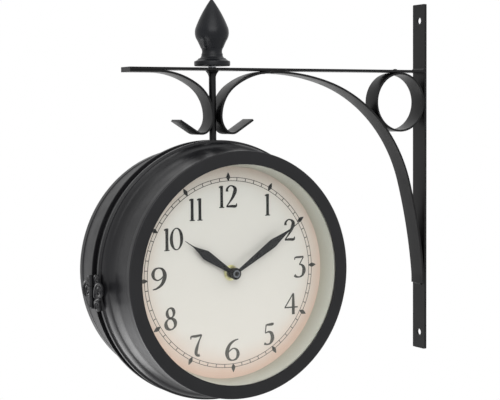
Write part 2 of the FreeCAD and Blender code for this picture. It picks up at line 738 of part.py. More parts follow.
def hinge_leaf(label, side, knuckles, lobes):
    """Cast leaf on one rim (side -1 front, 1 rear): round lobes (y, z, radius), a foot that sits on the
    rim's curve, and straps to the leaf's own knuckles."""
    thick = cell("leaf_thickness")
    outer = cell("hinge_radius") - cell("rim_radius") - cell("slide_gap") - thick
    start = cell("knuckle_radius") + cell("knuckle_gap")
    reach = start + 4.0
    low_rim, high_rim = cell("groove_half") + 0.1, cell("groove_half") + cell("rim_width") - 0.1
    rim = Part.makeCylinder(cell("rim_radius") + cell("running_gap"), 4 * cell("groove_half") + 4 * high_rim,
                            vec(cell("hinge_radius"), -4 * high_rim, cell("hinge_drop")), Y_AXIS)
    solids = []
    for y, z, radius in lobes:
        lobe = Part.makeCylinder(radius, thick, vec(outer, y, z), X_AXIS)
        near = start if side > 0 else -start - 60
        solids.append(lobe.common(Part.makeBox(thick, 60, 60, vec(outer, near, -30))))
        foot = Part.makeCylinder(radius - 0.4, 4 * thick, vec(outer, y, z), X_AXIS)
        near = low_rim if side > 0 else -high_rim
        foot = foot.common(Part.makeBox(4 * thick, high_rim - low_rim, 60, vec(outer, near, -30)))
        solids.append(foot.cut(rim))
    bore = Part.makeCylinder(cell("hinge_pin_radius") + cell("running_gap"), 60, vec(0, 0, -30))
    for low, high in knuckles:
        solids.append(Part.makeCylinder(cell("knuckle_radius"), high - low, vec(0, 0, low)))
        solids.append(Part.makeBox(thick, reach, high - low, vec(outer, 0 if side > 0 else -reach, low)))
    feature = doc.addObject("Part::Feature", label)
    feature.Shape = solids[0].multiFuse(solids[1:]).cut(bore).removeSplitter()
    feature.Placement = HINGE
    keep(feature, label)


def hinge():
    mid, end, gap = cell("knuckle_half_height"), cell("hinge_half_height"), cell("knuckle_gap")
    rear_lobes = [(11.0, 1.0, 10.0), (6.0, -12.0, 4.8)]
    front_lobes = [(-8.0, -12.0, 5.2), (-9.0, -3.0, 5.5), (-13.5, 2.0, 6.5), (-9.0, 6.5, 4.0),
                   (-9.0, 11.5, 3.4)]
    hinge_leaf("hinge_leaf_rear", 1, [(-mid, mid)], rear_lobes)
    hinge_leaf("hinge_leaf_front", -1, [(-end, -mid - gap), (mid + gap, end)], front_lobes)
    pin = Part.makeCylinder(cell("hinge_pin_radius"), 2 * end + 1.0, vec(0, 0, -end - 0.5))
    head = Part.makeCylinder(cell("knuckle_radius"), 1.0, vec(0, 0, end + cell("running_gap")))
    tail = Part.makeCylinder(cell("knuckle_radius"), 1.0, vec(0, 0, -end - cell("running_gap") - 1.0))
    feature = doc.addObject("Part::Feature", "hinge_pin")
    feature.Shape = pin.multiFuse([head, tail]).removeSplitter()
    feature.Placement = HINGE
    keep(feature, "hinge_pin")


LOCK = FreeCAD.Placement(CENTRE + vec(cell("rim_radius") + cell("lock_reach"), 0, 0), FreeCAD.Rotation())


def lock_lug(label, side, clearance):
    """Eye on one rim, opposite the hinge, for the pull pin."""
    boss, reach = cell("lock_boss"), cell("lock_reach")
    low = cell("groove_half") + 0.1 if side > 0 else -cell("groove_half") - cell("rim_width") + 0.1
    width = cell("rim_width") - 0.2
    web = Part.makeBox(reach + 1, width, 2 * boss, vec(-reach - 1, low, -boss))
    eye = Part.makeCylinder(boss, width, vec(0, low, 0), Y_AXIS)
    rim_r = cell("rim_radius") + cell("running_gap")
    rim = Part.makeCylinder(rim_r, 3 * width, vec(-cell("rim_radius") - reach, low - width, 0), Y_AXIS)
    hole = Part.makeCylinder(cell("lock_pin_radius") + clearance, 3 * width, vec(0, low - width, 0), Y_AXIS)
    feature = doc.addObject("Part::Feature", label)
    feature.Shape = web.fuse(eye).cut(rim.fuse(hole)).removeSplitter()
    feature.Placement = LOCK
    keep(feature, label)


def lock():
    """Pull pin that slides in the front eye and enters the rear one."""
    lock_lug("lock_lug_front", -1, cell("running_gap"))
    lock_lug("lock_lug_rear", 1, cell("slide_gap"))
    body = body_at("lock_pin", LOCK)
    sketch = sketch_in(body, "XY_Plane", "lock_pin_profile")
    seat = f"-{RIM_BACK} - running_gap"
    outline(sketch, [
        ("0", "lock_pin_tip"), ("0", f"{seat} - lock_knob_length"),
        ("lock_knob_radius - 0.8", f"{seat} - lock_knob_length"),
        ("lock_knob_radius", f"{seat} - lock_knob_length + 0.8", QUARTER),
        ("lock_knob_radius", f"{seat} - 2.5"),
        ("lock_pin_radius + 0.8", f"{seat} - 2"), ("lock_pin_radius + 0.8", seat), ("lock_pin_radius", seat),
        ("lock_pin_radius", "lock_pin_tip - 0.8"), ("lock_pin_radius - 0.8", "lock_pin_tip")])
    turn = body.newObject("PartDesign::Revolution", "lock_pin_turn")
    turn.Profile = sketch
    turn.ReferenceAxis = (sketch, ["V_Axis"])
    turn.Angle = 360.0
    body.Tip = turn
    keep(body, "lock_pin")


# ---------------------------------------------------------------- movement
def behind_dial(place):
    """Frame on the backplate's inner face: -Y toward the viewer, +Y into the drum."""
    return place.multiply(FreeCAD.Placement(vec(0, -value_of(DIAL_BACK), 0), FreeCAD.Rotation()))


def block(body, name, corners, start, length, cut=False):
    """Straight piece of a movement body: an outline across the dial's axis, from depth start inward."""
    sketch = sketch_in(body, "XZ_Plane", name)
    sketch.setExpression("AttachmentOffset.Base.z", bound(f"-({start})"))
    outline(sketch, corners)
    return extrude(body, name, sketch, length, cut)


def drum_block(body, name, radius, start, length, cut=False, at=("0", "0")):
    """The same with a round outline, centred at a pair of expressions."""
    sketch = sketch_in(body, "XZ_Plane", name)
    sketch.setExpression("AttachmentOffset.Base.z", bound(f"-({start})"))
    centre = vec(value_of(at[0]), value_of(at[1]), 0)
    geo = sketch.addGeometry(Part.Circle(centre, UP, value_of(radius)), False)
    pairs = [("DistanceX", at[0], centre.x), ("DistanceY", at[1], centre.y)]
    for kind, text, number in pairs:
        c = sketch.addConstraint(Sketcher.Constraint(kind, -1, 1, geo, 3, number))
        sketch.setExpression(f"Constraints[{c}]", bound(text))
    c = sketch.addConstraint(Sketcher.Constraint("Radius", geo, value_of(radius)))
    sketch.setExpression(f"Constraints[{c}]", bound(radius))
    return extrude(body, name, sketch, length, cut)


def extrude(body, name, sketch, length, cut):
    kind = "Pocket" if cut else "Pad"
    feature = body.newObject("PartDesign::" + kind, name + "_" + kind.lower())
    feature.Profile = sketch
    feature.Reversed = not cut
    set_size(feature, "Length", length)
    body.Tip = feature
    return feature


def rectangle(left, low, right, high):
    return [(left, low), (right, low), (right, high), (left, high)]


def toothed(body, name, teeth, module, phase, start, length, at=(0, 0)):
    """Toothed disc. Each tooth is a tapered block; phase is the angle of one tooth, from +X toward +Z."""
    pitch_r, step = teeth * module / 2, 2 * math.pi / teeth
    root, tip = pitch_r - 1.15 * module, pitch_r + 0.8 * module
    points = []
    for k in range(teeth):
        middle = math.radians(phase) + k * step
        for radius, share in ((root, -0.31), (tip, -0.13), (tip, 0.13), (root, 0.31)):
            angle = middle + share * step
            points.append(vec(at[0] + radius * math.cos(angle), at[1] + radius * math.sin(angle), 0))
    sketch = sketch_in(body, "XZ_Plane", name)
    sketch.setExpression("AttachmentOffset.Base.z", bound(f"-({start})"))
    runs = [Part.LineSegment(a, b) for a, b in zip(points, points[1:] + points[:1])]
    sketch.addGeometry(runs, False)
    return extrude(body, name, sketch, length, False)


SITE = ("wheel_distance * cos(30)", "wheel_distance * sin(30)")
WHEEL_SITE = (value_of(SITE[0]), value_of(SITE[1]))
HOUR_LEVEL = "(housing_wall + 0.5)"
MINUTE_LEVEL = "(housing_wall + 3.1)"
CENTRE_LEVEL = "(housing_wall + 6.5)"
HOUR_HAND_BACK = "(bush_length + hand_gap)"
MINUTE_HAND_BACK = "(bush_length + hand_gap + hand_thickness + minute_hand_gap)"


def movement_housing(side, place):
    """Box with a wheel chamber, an open battery bay below it and a threaded neck through the dial."""
    body = body_at(side + "_movement_housing", place)
    name = side + "_housing"
    half, inner = "housing_side / 2", "(housing_side / 2 - housing_wall)"
    block(body, name + "_box", rectangle(f"-{half}", f"-{half}", half, half), "0", "housing_depth")
    block(body, name + "_chamber", rectangle(f"-{inner}", "-bay_floor + housing_wall", inner, inner),
          "housing_wall", "housing_depth", cut=True)
    block(body, name + "_bay", rectangle(f"-{inner}", f"-{inner}", inner, "-bay_floor"),
          "0.8", "housing_depth", cut=True)
    drum_block(body, name + "_neck", "bush_radius", "-bush_length", "bush_length")
    bore = "hour_pipe_radius + running_gap"
    drum_block(body, name + "_bore", bore, "-bush_length - 1", "bush_length + 3", cut=True)
    drum_block(body, name + "_pivot", "0.9 + running_gap", "0.6", "2", cut=True, at=SITE)
    keep(body, side + "_movement_housing")


def movement_cover(side, place):
    """Lid of the wheel chamber, with holes for the two arbors."""
    body = body_at(side + "_movement_cover", place)
    name = side + "_cover"
    inner = "(housing_side / 2 - housing_wall - nest_gap)"
    block(body, name + "_lid", rectangle(f"-{inner}", "-bay_floor + housing_wall + nest_gap", inner, inner),
          "housing_depth - housing_wall", "housing_wall")
    drum_block(body, name + "_knob_hole", "0.9 + running_gap", "0", "housing_depth + 1", cut=True, at=SITE)
    drum_block(body, name + "_centre_pivot", "0.9 + running_gap", "0", "housing_depth - 0.5", cut=True)
    keep(body, side + "_movement_cover")


def dial_nut(side, place):
    """Round brass nut with a washer rim that clamps the dial on the movement's neck."""
    face = "-(dial_sheet + backplate_thickness)"
    bore = "bush_radius + thread_gap"
    turned(side + "_dial_nut", [
        (bore, face), ("dial_nut_radius", face), ("dial_nut_radius", f"{face} - 0.5"),
        ("dial_nut_radius - 1.2", f"{face} - 0.5"),
        ("dial_nut_radius - 1.2", f"{face} - dial_nut_height + 0.3"),
        ("dial_nut_radius - 1.6", f"{face} - dial_nut_height"), (bore, f"{face} - dial_nut_height")], place)


def centre_wheel(side, place):
    """Arbor of the minute hand with its cannon pinion and its driven wheel."""
    tip = f"-{MINUTE_HAND_BACK} - hand_thickness - 0.6"
    body = body_at(side + "_centre_wheel", place)
    sketch = sketch_in(body, "XY_Plane", side + "_centre_arbor")
    step, end = f"{CENTRE_LEVEL} + 2.5", "housing_depth - 1.0"
    outline(sketch, [("0", tip), ("arbor_radius", tip), ("arbor_radius", step), ("0.9", step), ("0.9", end),
                     ("0", end)])
    turn = body.newObject("PartDesign::Revolution", side + "_centre_arbor_turn")
    turn.Profile = sketch
    turn.ReferenceAxis = (sketch, ["V_Axis"])
    turn.Angle = 360.0
    body.Tip = turn
    phase = 30.0
    toothed(body, side + "_cannon_pinion", TOOTH_COUNT["cannon"], cell("minute_module"), phase,
            f"{MINUTE_LEVEL} - 0.4", "2.2")
    toothed(body, side + "_driven_wheel", TOOTH_COUNT["centre"], 0.4, 0, CENTRE_LEVEL, "wheel_thickness")
    keep(body, side + "_centre_wheel")


def minute_wheel(side, place):
    """Wheel driven by the cannon pinion; its own pinion drives the hour wheel."""
    body = body_at(side + "_minute_wheel", place)
    name = side + "_minute"
    gap = 180.0 / TOOTH_COUNT["minute"]
    toothed(body, name + "_teeth", TOOTH_COUNT["minute"], cell("minute_module"), 210.0 + gap, MINUTE_LEVEL,
            "wheel_thickness", WHEEL_SITE)
    drum_block(body, name + "_arbor", "0.9", "0.8", "housing_depth + 0.2", at=SITE)
    phase = 210.0 + 180.0 / TOOTH_COUNT["pinion"]
    toothed(body, name + "_pinion", TOOTH_COUNT["pinion"], cell("hour_module"), phase,
            f"{HOUR_LEVEL} - 0.2", f"{MINUTE_LEVEL} - ({HOUR_LEVEL} - 0.2)", WHEEL_SITE)
    keep(body, side + "_minute_wheel")


def hour_wheel(side, place):
    """Wheel and pipe of the hour hand; the pipe runs in the neck and round the minute arbor."""
    body = body_at(side + "_hour_wheel", place)
    name = side + "_hour"
    toothed(body, name + "_teeth", TOOTH_COUNT["hour"], cell("hour_module"), 30.0, HOUR_LEVEL,
            "wheel_thickness")
    end = f"{HOUR_HAND_BACK} + hand_thickness + 0.4"
    drum_block(body, name + "_pipe", "hour_pipe_radius", f"-({end})", f"{end} + {HOUR_LEVEL}")
    bore = "arbor_radius + running_gap"
    drum_block(body, name + "_bore", bore, f"-({end}) - 1", "housing_depth + 10", cut=True)
    keep(body, side + "_hour_wheel")


def setting_knob(side, place):
    """Knurled knob on the minute wheel's arbor, behind the cover."""
    body = body_at(side + "_setting_knob", place)
    name = side + "_knob"
    start = "housing_depth + slide_gap"
    module = 2 * cell("knob_radius") / TOOTH_COUNT["knob"]
    toothed(body, name + "_grip", TOOTH_COUNT["knob"], module, 0, start, "knob_height", WHEEL_SITE)
    drum_block(body, name + "_bore", "0.9 + thread_gap", "housing_depth", "1.0 + running_gap", cut=True, at=SITE)
    keep(body, side + "_setting_knob")


def battery(side, place):
    """Cylindrical cell lying across the bay, with its positive nipple."""
    radius, half = cell("battery_radius"), cell("battery_length") / 2
    low = -(cell("housing_side") / 2 - cell("housing_wall") - cell("slide_gap") - radius)
    depth = 0.8 + cell("slide_gap") + radius
    can = Part.makeCylinder(radius, 2 * half - 1.5, vec(-half, depth, low), X_AXIS)
    nipple = Part.makeCylinder(2.7, 1.5, vec(half - 1.5, depth, low), X_AXIS)
    feature = doc.addObject("Part::Feature", side + "_battery")
    feature.Shape = can.fuse(nipple).removeSplitter()
    feature.Placement = place
    keep(feature, side + "_battery")


def drive_unit(side, place):
    """Sealed block with the circuit, coil and stepping motor."""
    body = body_at(side + "_drive_unit", place)
    name = side + "_drive"
    left, right = "-(housing_side / 2 - housing_wall - slide_gap)", "-11.2"
    floor, roof = "-bay_floor + housing_wall + slide_gap", "housing_side / 2 - housing_wall - slide_gap"
    block(body, name + "_board", rectangle(left, floor, right, roof), "housing_wall", "1.2")
    block(body, name + "_coil", rectangle(f"{left} + 2", f"{floor} + 4", f"{left} + 9", f"{roof} - 4"),
          "housing_wall + 1.2", "7")
    drum_block(body, name + "_motor", "3.2", "housing_wall + 1.2", "5", at=(f"{right} - 3.4", f"{roof} - 4"))
    keep(body, side + "_drive_unit")


def hand(label, place, name, back, bore):
    """Leaf-shaped hand with a round hub and a needle tip, turned clockwise from 12."""
    turn = FreeCAD.Rotation(Y_AXIS, cell(name + "_angle"))
    body = body_at(label, place.multiply(FreeCAD.Placement(vec(0, 0, 0), turn)))
    start = f"-({back} + hand_thickness)"
    drum_block(body, label + "_hub", "hand_hub", start, "hand_thickness")
    neck, wide, needle = "hand_neck / 2", f"{name}_width / 2", "hand_needle / 2"
    root, tip = "hand_hub * 0.8", f"{name}_length"
    belly, shaft = f"{tip} * 0.57", f"{tip} * 0.83"
    block(body, label + "_blade", [
        (f"-{neck}", root), (neck, root), (wide, belly), (needle, shaft, -2.4), (f"{needle} / 2", tip),
        (f"-{needle} / 2", tip), (f"-{needle}", shaft), (f"-{wide}", belly, -2.4)], start, "hand_thickness")
    drum_block(body, label + "_bore", bore, f"{start} - 1", "hand_thickness + 2", cut=True)
    keep(body, label)


def hand_cap(side, place):
    """Stepped round cap pressed on the end of the minute arbor."""
    face = f"-({MINUTE_HAND_BACK} + hand_thickness)"
    turned(side + "_hand_cap", [
        ("arbor_radius + thread_gap", face), ("hand_cap_radius", face), ("hand_cap_radius", f"{face} - 0.7"),
        ("hand_cap_radius - 1.9", f"{face} - 1.2"), ("hand_cap_radius - 1.9", f"{face} - 1.9"),
        ("hand_cap_radius - 2.4", f"{face} - 2.4"), ("0", f"{face} - 2.4"), ("0", f"{face} - 0.7"),
        ("arbor_radius + thread_gap", f"{face} - 0.7")], place)


# ---------------------------------------------------------------- build everything
for build in (wall_plate, arm_bar, brace_strip, scroll_strips, bracket_ring, weld_beads, bracket_rivet,
              rod_tube, threaded_rod, rod_nuts, rod_washer, finial, centre_band, swivel_bush, hinge, lock):
    build()
for side_name, half_place in SIDES.items():
    for build in (shell, bezel, glass, reflector, dial, backplate, posts):
        build(side_name, half_place)
    inner_place = behind_dial(half_place)
    for build in (movement_housing, movement_cover, dial_nut, centre_wheel, minute_wheel, hour_wheel,
                  setting_knob, battery, drive_unit, hand_cap):
        build(side_name, inner_place)
    hand(side_name + "_hour_hand", inner_place, "hour_hand", HOUR_HAND_BACK, "hour_pipe_radius + thread_gap")
    hand(side_name + "_minute_hand", inner_place, "minute_hand", MINUTE_HAND_BACK, "arbor_radius + thread_gap")
doc.recompute()

problems = [o.Name for o in doc.Objects if {"Invalid", "Error"} & set(o.State)]
for part in PARTS:
    if part.Shape.isNull() or not part.Shape.isValid() or not part.Shape.Solids:
        problems.append(part.Label)
if problems:
    raise RuntimeError("not sound: " + ", ".join(problems))
for part in PARTS:
    part.Shape.exportStep(os.path.join("parts", part.Label + ".step"))
print(len(PARTS), "sub-parts written")
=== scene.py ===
import json
import math

import bmesh
import bpy
import numpy as np
from mathutils import Matrix, Vector


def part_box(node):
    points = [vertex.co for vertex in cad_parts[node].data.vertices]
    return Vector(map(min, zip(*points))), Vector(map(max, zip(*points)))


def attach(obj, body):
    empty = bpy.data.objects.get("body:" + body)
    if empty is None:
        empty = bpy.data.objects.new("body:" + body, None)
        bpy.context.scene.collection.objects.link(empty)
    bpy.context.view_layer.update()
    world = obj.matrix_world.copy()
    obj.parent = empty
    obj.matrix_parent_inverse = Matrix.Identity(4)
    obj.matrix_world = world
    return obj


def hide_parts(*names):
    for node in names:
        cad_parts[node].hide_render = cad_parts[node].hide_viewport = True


# Looks of a double sided station clock that hangs from a flat-iron wall bracket.
# Shapes are worked out in millimetres in the part's own frame and put into metres at the end.

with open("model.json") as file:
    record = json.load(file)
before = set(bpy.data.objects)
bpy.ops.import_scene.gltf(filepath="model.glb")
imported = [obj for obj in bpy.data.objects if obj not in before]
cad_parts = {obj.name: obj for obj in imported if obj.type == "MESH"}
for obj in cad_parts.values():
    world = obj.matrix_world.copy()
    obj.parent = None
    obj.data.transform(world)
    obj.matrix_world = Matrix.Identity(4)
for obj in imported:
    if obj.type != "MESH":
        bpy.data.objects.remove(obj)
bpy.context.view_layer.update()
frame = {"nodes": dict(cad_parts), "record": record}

MM = 0.001
ROD_X = -234.5                          # line of the hanging rod
CLOCK = np.array([ROD_X, 0.0, -76.5])   # middle of the drum
ARM_LOW, ARM_TOP = 103.75, 106.25       # heights of the arm's two faces
ARM_REACH = 85.5                        # from the arm's free end to the rod
PLATE_FACE = -2.5                       # outer face of the wall plate, where the arm ends
STRIP_WIDTH, STRIP_THICK = 19.0, 2.0    # flat iron of brace, scrolls and ring
HINGE_Z, HINGE_FACE = -87.5, -353.85    # middle height of the hinge, and x of its outer face
QUARTER = math.sqrt(0.5)                # radius over chord of a quarter round
SHARP, SOFT = 35.0, 60.0                # edges that turn by more degrees than this are shaded sharp
MERGE = 2e-7                            # points nearer than this, in metres, become one
EDGE = 0.45                             # rounding of a bar's four edges
EASE_STEPS = 4                          # facets of an eased corner
SMOOTH_TURN = 20.0                      # corners that turn by fewer degrees aren't eased
ARC_POINTS = 14                         # points of an arc in a profile
ARC_STEP, LINE_STEP = 1.2, 6.0          # spacing of points along a bent strip's arcs and straights


# ---------------------------------------------------------------- shaping
def skin(points, rows_closed=False):
    """Shell of quads over a grid of points (rows, around, 3). Each row is a closed ring; row i is joined
    to row i + 1, and the last row to the first where rows_closed, else the two end rings are capped."""
    rows, around = points.shape[:2]
    i = np.arange(rows if rows_closed else rows - 1)[:, None]
    j = np.arange(around)[None, :]
    here, nxt = i * around, ((i + 1) % rows) * around
    right = (j + 1) % around
    quads = np.stack([here + j, here + right, nxt + right, nxt + j], -1).reshape(-1, 4)
    faces = quads.tolist()
    if not rows_closed:
        ring = np.arange(around)
        faces += [ring[::-1].tolist(), (ring + (rows - 1) * around).tolist()]
    return points.reshape(-1, 3), faces


def outward(points, faces):
    """The same faces, all reversed where the shell's signed volume is negative."""
    fans = np.array([(f[0], f[k], f[k + 1]) for f in faces for k in range(1, len(f) - 1)])
    a, b, c = (points[fans[:, k]] for k in range(3))
    volume = np.einsum("ij,ij->i", a, np.cross(b, c)).sum()
    return [f[::-1] for f in faces] if volume < 0 else faces


def half_turn(points):
    """Points turned half round the rod: the front dial's side becomes the rear dial's."""
    return points * [-1, -1, 1] + [2 * ROD_X, 0, 0]


def piece(name, shells, material, body, stands_for=(), sharp=SHARP):
    """Object from closed shells (points in mm, faces), joined in one mesh with its normals outward."""
    points, faces, count = [], [], 0
    for shell_points, shell_faces in shells:
        shell_points = np.asarray(shell_points, float)
        centred = shell_points - shell_points.mean(0)
        faces += [[k + count for k in f] for f in outward(centred, shell_faces)]
        points.append(shell_points)
        count += len(shell_points)
    mesh = bpy.data.meshes.new(name)
    mesh.from_pydata((np.concatenate(points) * MM).tolist(), [], faces)
    merged = bmesh.new()
    merged.from_mesh(mesh)
    bmesh.ops.remove_doubles(merged, verts=merged.verts, dist=MERGE)
    merged.to_mesh(mesh)
    merged.free()
    mesh.validate()
    mesh.shade_smooth()
    mesh.set_sharp_from_angle(angle=math.radians(sharp))
    mesh.materials.append(material)
    obj = bpy.data.objects.new(name, mesh)
    bpy.context.scene.collection.objects.link(obj)
    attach(obj, body)
    if stands_for:
        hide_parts(*stands_for)


def arc_between(start, end, k):
    """Points of an arc from start to end whose radius is |k| times its chord; it turns left where k > 0."""
    start, end = np.array(start, float), np.array(end, float)
    chord = end - start
    length = np.hypot(*chord)
    radius = abs(k) * length
    rise = math.sqrt(max(radius ** 2 - length ** 2 / 4, 0.0))
    centre = (start + end) / 2 + math.copysign(1, k) * rise * np.array([-chord[1], chord[0]]) / length
    a0, a1 = (math.atan2(*(p - centre)[::-1]) for p in (start, end))
    sweep = (a1 - a0 + math.pi) % (2 * math.pi) - math.pi
    angle = a0 + sweep * np.linspace(0, 1, ARC_POINTS)
    return centre + radius * np.stack([np.cos(angle), np.sin(angle)], -1)


def eased(corners, ease):
    """Closed outline through corners (u, v) or, with an arc from the last corner, (u, v, k). Each corner
    that turns by SMOOTH_TURN or more is rounded with a quadratic curve that starts ease mm before it, or
    nearer where a neighbour is close: (1 - t)^2 a + 2 t (1 - t) corner + t^2 b."""
    line = []
    for before, corner in zip(corners[-1:] + corners[:-1], corners):
        if len(corner) == 3:
            line += arc_between(before[:2], corner[:2], corner[2])[1:].tolist()
        else:
            line.append([float(corner[0]), float(corner[1])])
    line = np.array(line)
    back, ahead = np.roll(line, 1, 0) - line, np.roll(line, -1, 0) - line
    len_back, len_ahead = np.hypot(*back.T), np.hypot(*ahead.T)
    turn = np.degrees(np.arccos(np.clip(-(back * ahead).sum(1) / (len_back * len_ahead), -1, 1)))
    out = []
    t = np.linspace(0, 1, EASE_STEPS + 1)[:, None]
    for k, point in enumerate(line):
        if turn[k] < SMOOTH_TURN:
            out.append(point[None])
            continue
        cut = min(ease, 0.45 * len_back[k], 0.45 * len_ahead[k])
        a, b = point + back[k] / len_back[k] * cut, point + ahead[k] / len_ahead[k] * cut
        out.append((1 - t) ** 2 * a + 2 * t * (1 - t) * point + t ** 2 * b)
    return np.concatenate(out)


def lathe(profile, axis="y", centre=CLOCK, count=240):
    """Closed profile of (radius, height) points carried once round an axis through centre.
    About y: x = cx + r sin t, y = cy + h, z = cz + r cos t.
    About z: x = cx + r cos t, y = cy + r sin t, z = cz + h."""
    r, h = np.asarray(profile, float).T
    t = np.linspace(0, 2 * math.pi, count, endpoint=False)[:, None]
    if axis == "y":
        grid = np.stack([r * np.sin(t), h + 0 * t, r * np.cos(t)], -1)
    else:
        grid = np.stack([r * np.cos(t), r * np.sin(t), h + 0 * t], -1)
    return skin(grid + centre, rows_closed=True)


def run_path(start, heading, runs):
    """Points and headings along tangent runs: ("line", length) or ("arc", radius, degrees to the right)."""
    at, angle = np.array(start, float), math.radians(heading)
    points, angles = [at[None]], [np.array([angle])]
    for kind, *sizes in runs:
        if kind == "line":
            count = max(2, int(sizes[0] / LINE_STEP))
            s = np.linspace(0, sizes[0], count + 1)[1:, None]
            points.append(at + s * [math.cos(angle), math.sin(angle)])
            angles.append(np.full(count, angle))
        else:
            radius, turn = sizes[0], math.radians(sizes[1])
            count = max(6, int(radius * turn / ARC_STEP))
            a = angle - turn * np.linspace(0, 1, count + 1)[1:]
            centre = at + radius * np.array([math.sin(angle), -math.cos(angle)])
            points.append(centre + radius * np.stack([-np.sin(a), np.cos(a)], -1))
            angles.append(a)
        at, angle = points[-1][-1], angles[-1][-1]
    return np.concatenate(points), np.concatenate(angles)


def round_bar(width, thickness):
    """Outline (across, in) of a bar with rounded edges: across from -width/2 to width/2, in from 0."""
    half = width / 2
    return eased([(-half, 0), (half, 0), (half, thickness), (-half, thickness)], EDGE)


def strip(start, heading, runs, thickness=STRIP_THICK, mirrored=False):
    """Flat iron bent in the plane of the bracket: a rounded bar carried along the runs, its outer face on
    them. Point = path + in * right of the heading + across * y. Where mirrored, it is flipped about the rod."""
    path, angle = run_path(start, heading, runs)
    across, into = round_bar(STRIP_WIDTH, thickness).T
    x = path[:, :1] + np.sin(angle)[:, None] * into
    z = path[:, 1:] - np.cos(angle)[:, None] * into
    grid = np.stack([x, across + 0 * x, z], -1)
    if mirrored:
        grid = grid * [-1, 1, 1] + [2 * ROD_X, 0, 0]
    return skin(grid)


def smooth_line(points, per):
    """Catmull-Rom curve through rows of numbers, with per points to each span."""
    p = np.asarray(points, float)
    p = np.concatenate([2 * p[:1] - p[1:2], p, 2 * p[-1:] - p[-2:-1]])
    t = np.linspace(0, 1, per, endpoint=False)[None, :, None]
    a, b, c, d = (p[k:len(p) - 3 + k, None] for k in range(4))
    curve = 0.5 * (2 * b + (c - a) * t + (2 * a - 5 * b + 4 * c - d) * t ** 2
                   + (3 * b - a - 3 * c + d) * t ** 3)
    return np.concatenate([curve.reshape(-1, p.shape[1]), p[-2:-1]])


def sideways(path):
    """Unit vectors to the left of a line of (u, v) points: its run from point to point, turned 90 degrees."""
    ahead = np.gradient(path[:, :2], axis=0)
    ahead /= np.maximum(np.hypot(*ahead.T)[:, None], 1e-9)
    return np.stack([-ahead[:, 1], ahead[:, 0]], -1)


# ---------------------------------------------------------------- shader maths
class Value:
    """A socket that carries a number; the operators add Math nodes."""

    def __init__(self, kit, socket):
        self.kit, self.socket = kit, socket

    def math(self, operation, *others):
        inputs = dict(enumerate((self,) + others))
        return Value(self.kit, self.kit.node("ShaderNodeMath", {"operation": operation}, inputs).outputs[0])

    def __add__(self, other):
        return self.math("ADD", other)

    def __sub__(self, other):
        return self.math("SUBTRACT", other)

    def __mul__(self, other):
        return self.math("MULTIPLY", other)

    def __pow__(self, other):
        return self.math("POWER", other)


class Kit:
    """Nodes of one material."""

    def __init__(self, tree):
        self.tree = tree

    def node(self, kind, settings=None, inputs=None):
        """Node of a kind, its settings set first, then its sockets by name or number."""
        made = self.tree.nodes.new(kind)
        for key, value in (settings or {}).items():
            setattr(made, key, value)
        for key, value in (inputs or {}).items():
            if isinstance(value, Value):
                value = value.socket
            if isinstance(value, bpy.types.NodeSocket):
                self.tree.links.new(value, made.inputs[key])
            else:
                made.inputs[key].default_value = value
        return made

    def place(self):
        """The place shaded, in the object's own metres: the frame's at rest, and it moves with the body."""
        return self.node("ShaderNodeTexCoord").outputs["Object"]

    def vector(self, operation, *inputs):
        """Vector Math node of an operation."""
        return self.node("ShaderNodeVectorMath", {"operation": operation}, dict(enumerate(inputs)))

    def parts(self, vector):
        """The x, y and z of a vector."""
        return [Value(self, part) for part in self.node("ShaderNodeSeparateXYZ", None, {0: vector}).outputs]

    def noise(self, scale, detail=3.0, rough=0.5):
        """Cloudy noise from 0 to 1, scale cells to the metre."""
        made = self.node("ShaderNodeTexNoise", None, {"Vector": self.place(), "Scale": scale,
                                                      "Detail": detail, "Roughness": rough})
        return Value(self, made.outputs["Fac"])

    def spans(self, value, low, high, to_low=0.0, to_high=1.0):
        """The value from low to high, mapped to to_low to to_high and held at the ends."""
        made = self.node("ShaderNodeMapRange", {"clamp": True},
                         {"Value": value, "From Min": low, "From Max": high, "To Min": to_low,
                          "To Max": to_high})
        return Value(self, made.outputs["Result"])

    def mix(self, factor, one, two):
        """Colour one where the factor is 0 and colour two where it is 1."""
        made = self.node("ShaderNodeMix", {"data_type": "RGBA"}, {0: factor})
        for key, value in ((6, one), (7, two)):
            if isinstance(value, bpy.types.NodeSocket):
                self.tree.links.new(value, made.inputs[key])
            else:
                made.inputs[key].default_value = (*value, 1.0)
        return made.outputs[2]

    def bump(self, height, distance):
        """Normal of a surface raised by height times distance, in metres."""
        inputs = {"Height": height, "Distance": distance, "Strength": 1.0}
        return self.node("ShaderNodeBump", None, inputs).outputs["Normal"]


def linear(colour):
    """sRGB numbers from 0 to 255 as linear ones."""
    c = np.array(colour) / 255.0
    return tuple(np.where(c <= 0.04045, c / 12.92, ((c + 0.055) / 1.055) ** 2.4).tolist())


def blank_material(name):
    made = bpy.data.materials.new(name)
    made.use_nodes = True
    made.node_tree.nodes.clear()
    return made, Kit(made.node_tree)


def material(name, build):
    """Material whose Principled shader takes what build(kit) gives for its sockets."""
    made, kit = blank_material(name)
    shader = kit.node("ShaderNodeBsdfPrincipled", None, build(kit))
    kit.node("ShaderNodeOutputMaterial", None, {"Surface": shader.outputs[0]})
    return made


def coated(base, worn, rough, gloss, grain=1100.0, depth=0.00001):
    """Satin powder coat: fine orange peel, slow changes of shade and of roughness."""
    def build(kit):
        shade = kit.spans(kit.noise(30.0, 4.0), 0.35, 0.7)
        patches = kit.noise(90.0, 3.0)
        return {"Base Color": kit.mix(shade, linear(base), linear(worn)),
                "Roughness": kit.spans(patches, 0.3, 0.7, rough - 0.04, rough + 0.05),
                "Normal": kit.bump(kit.noise(grain, 2.0), depth), "Specular IOR Level": gloss}
    return build


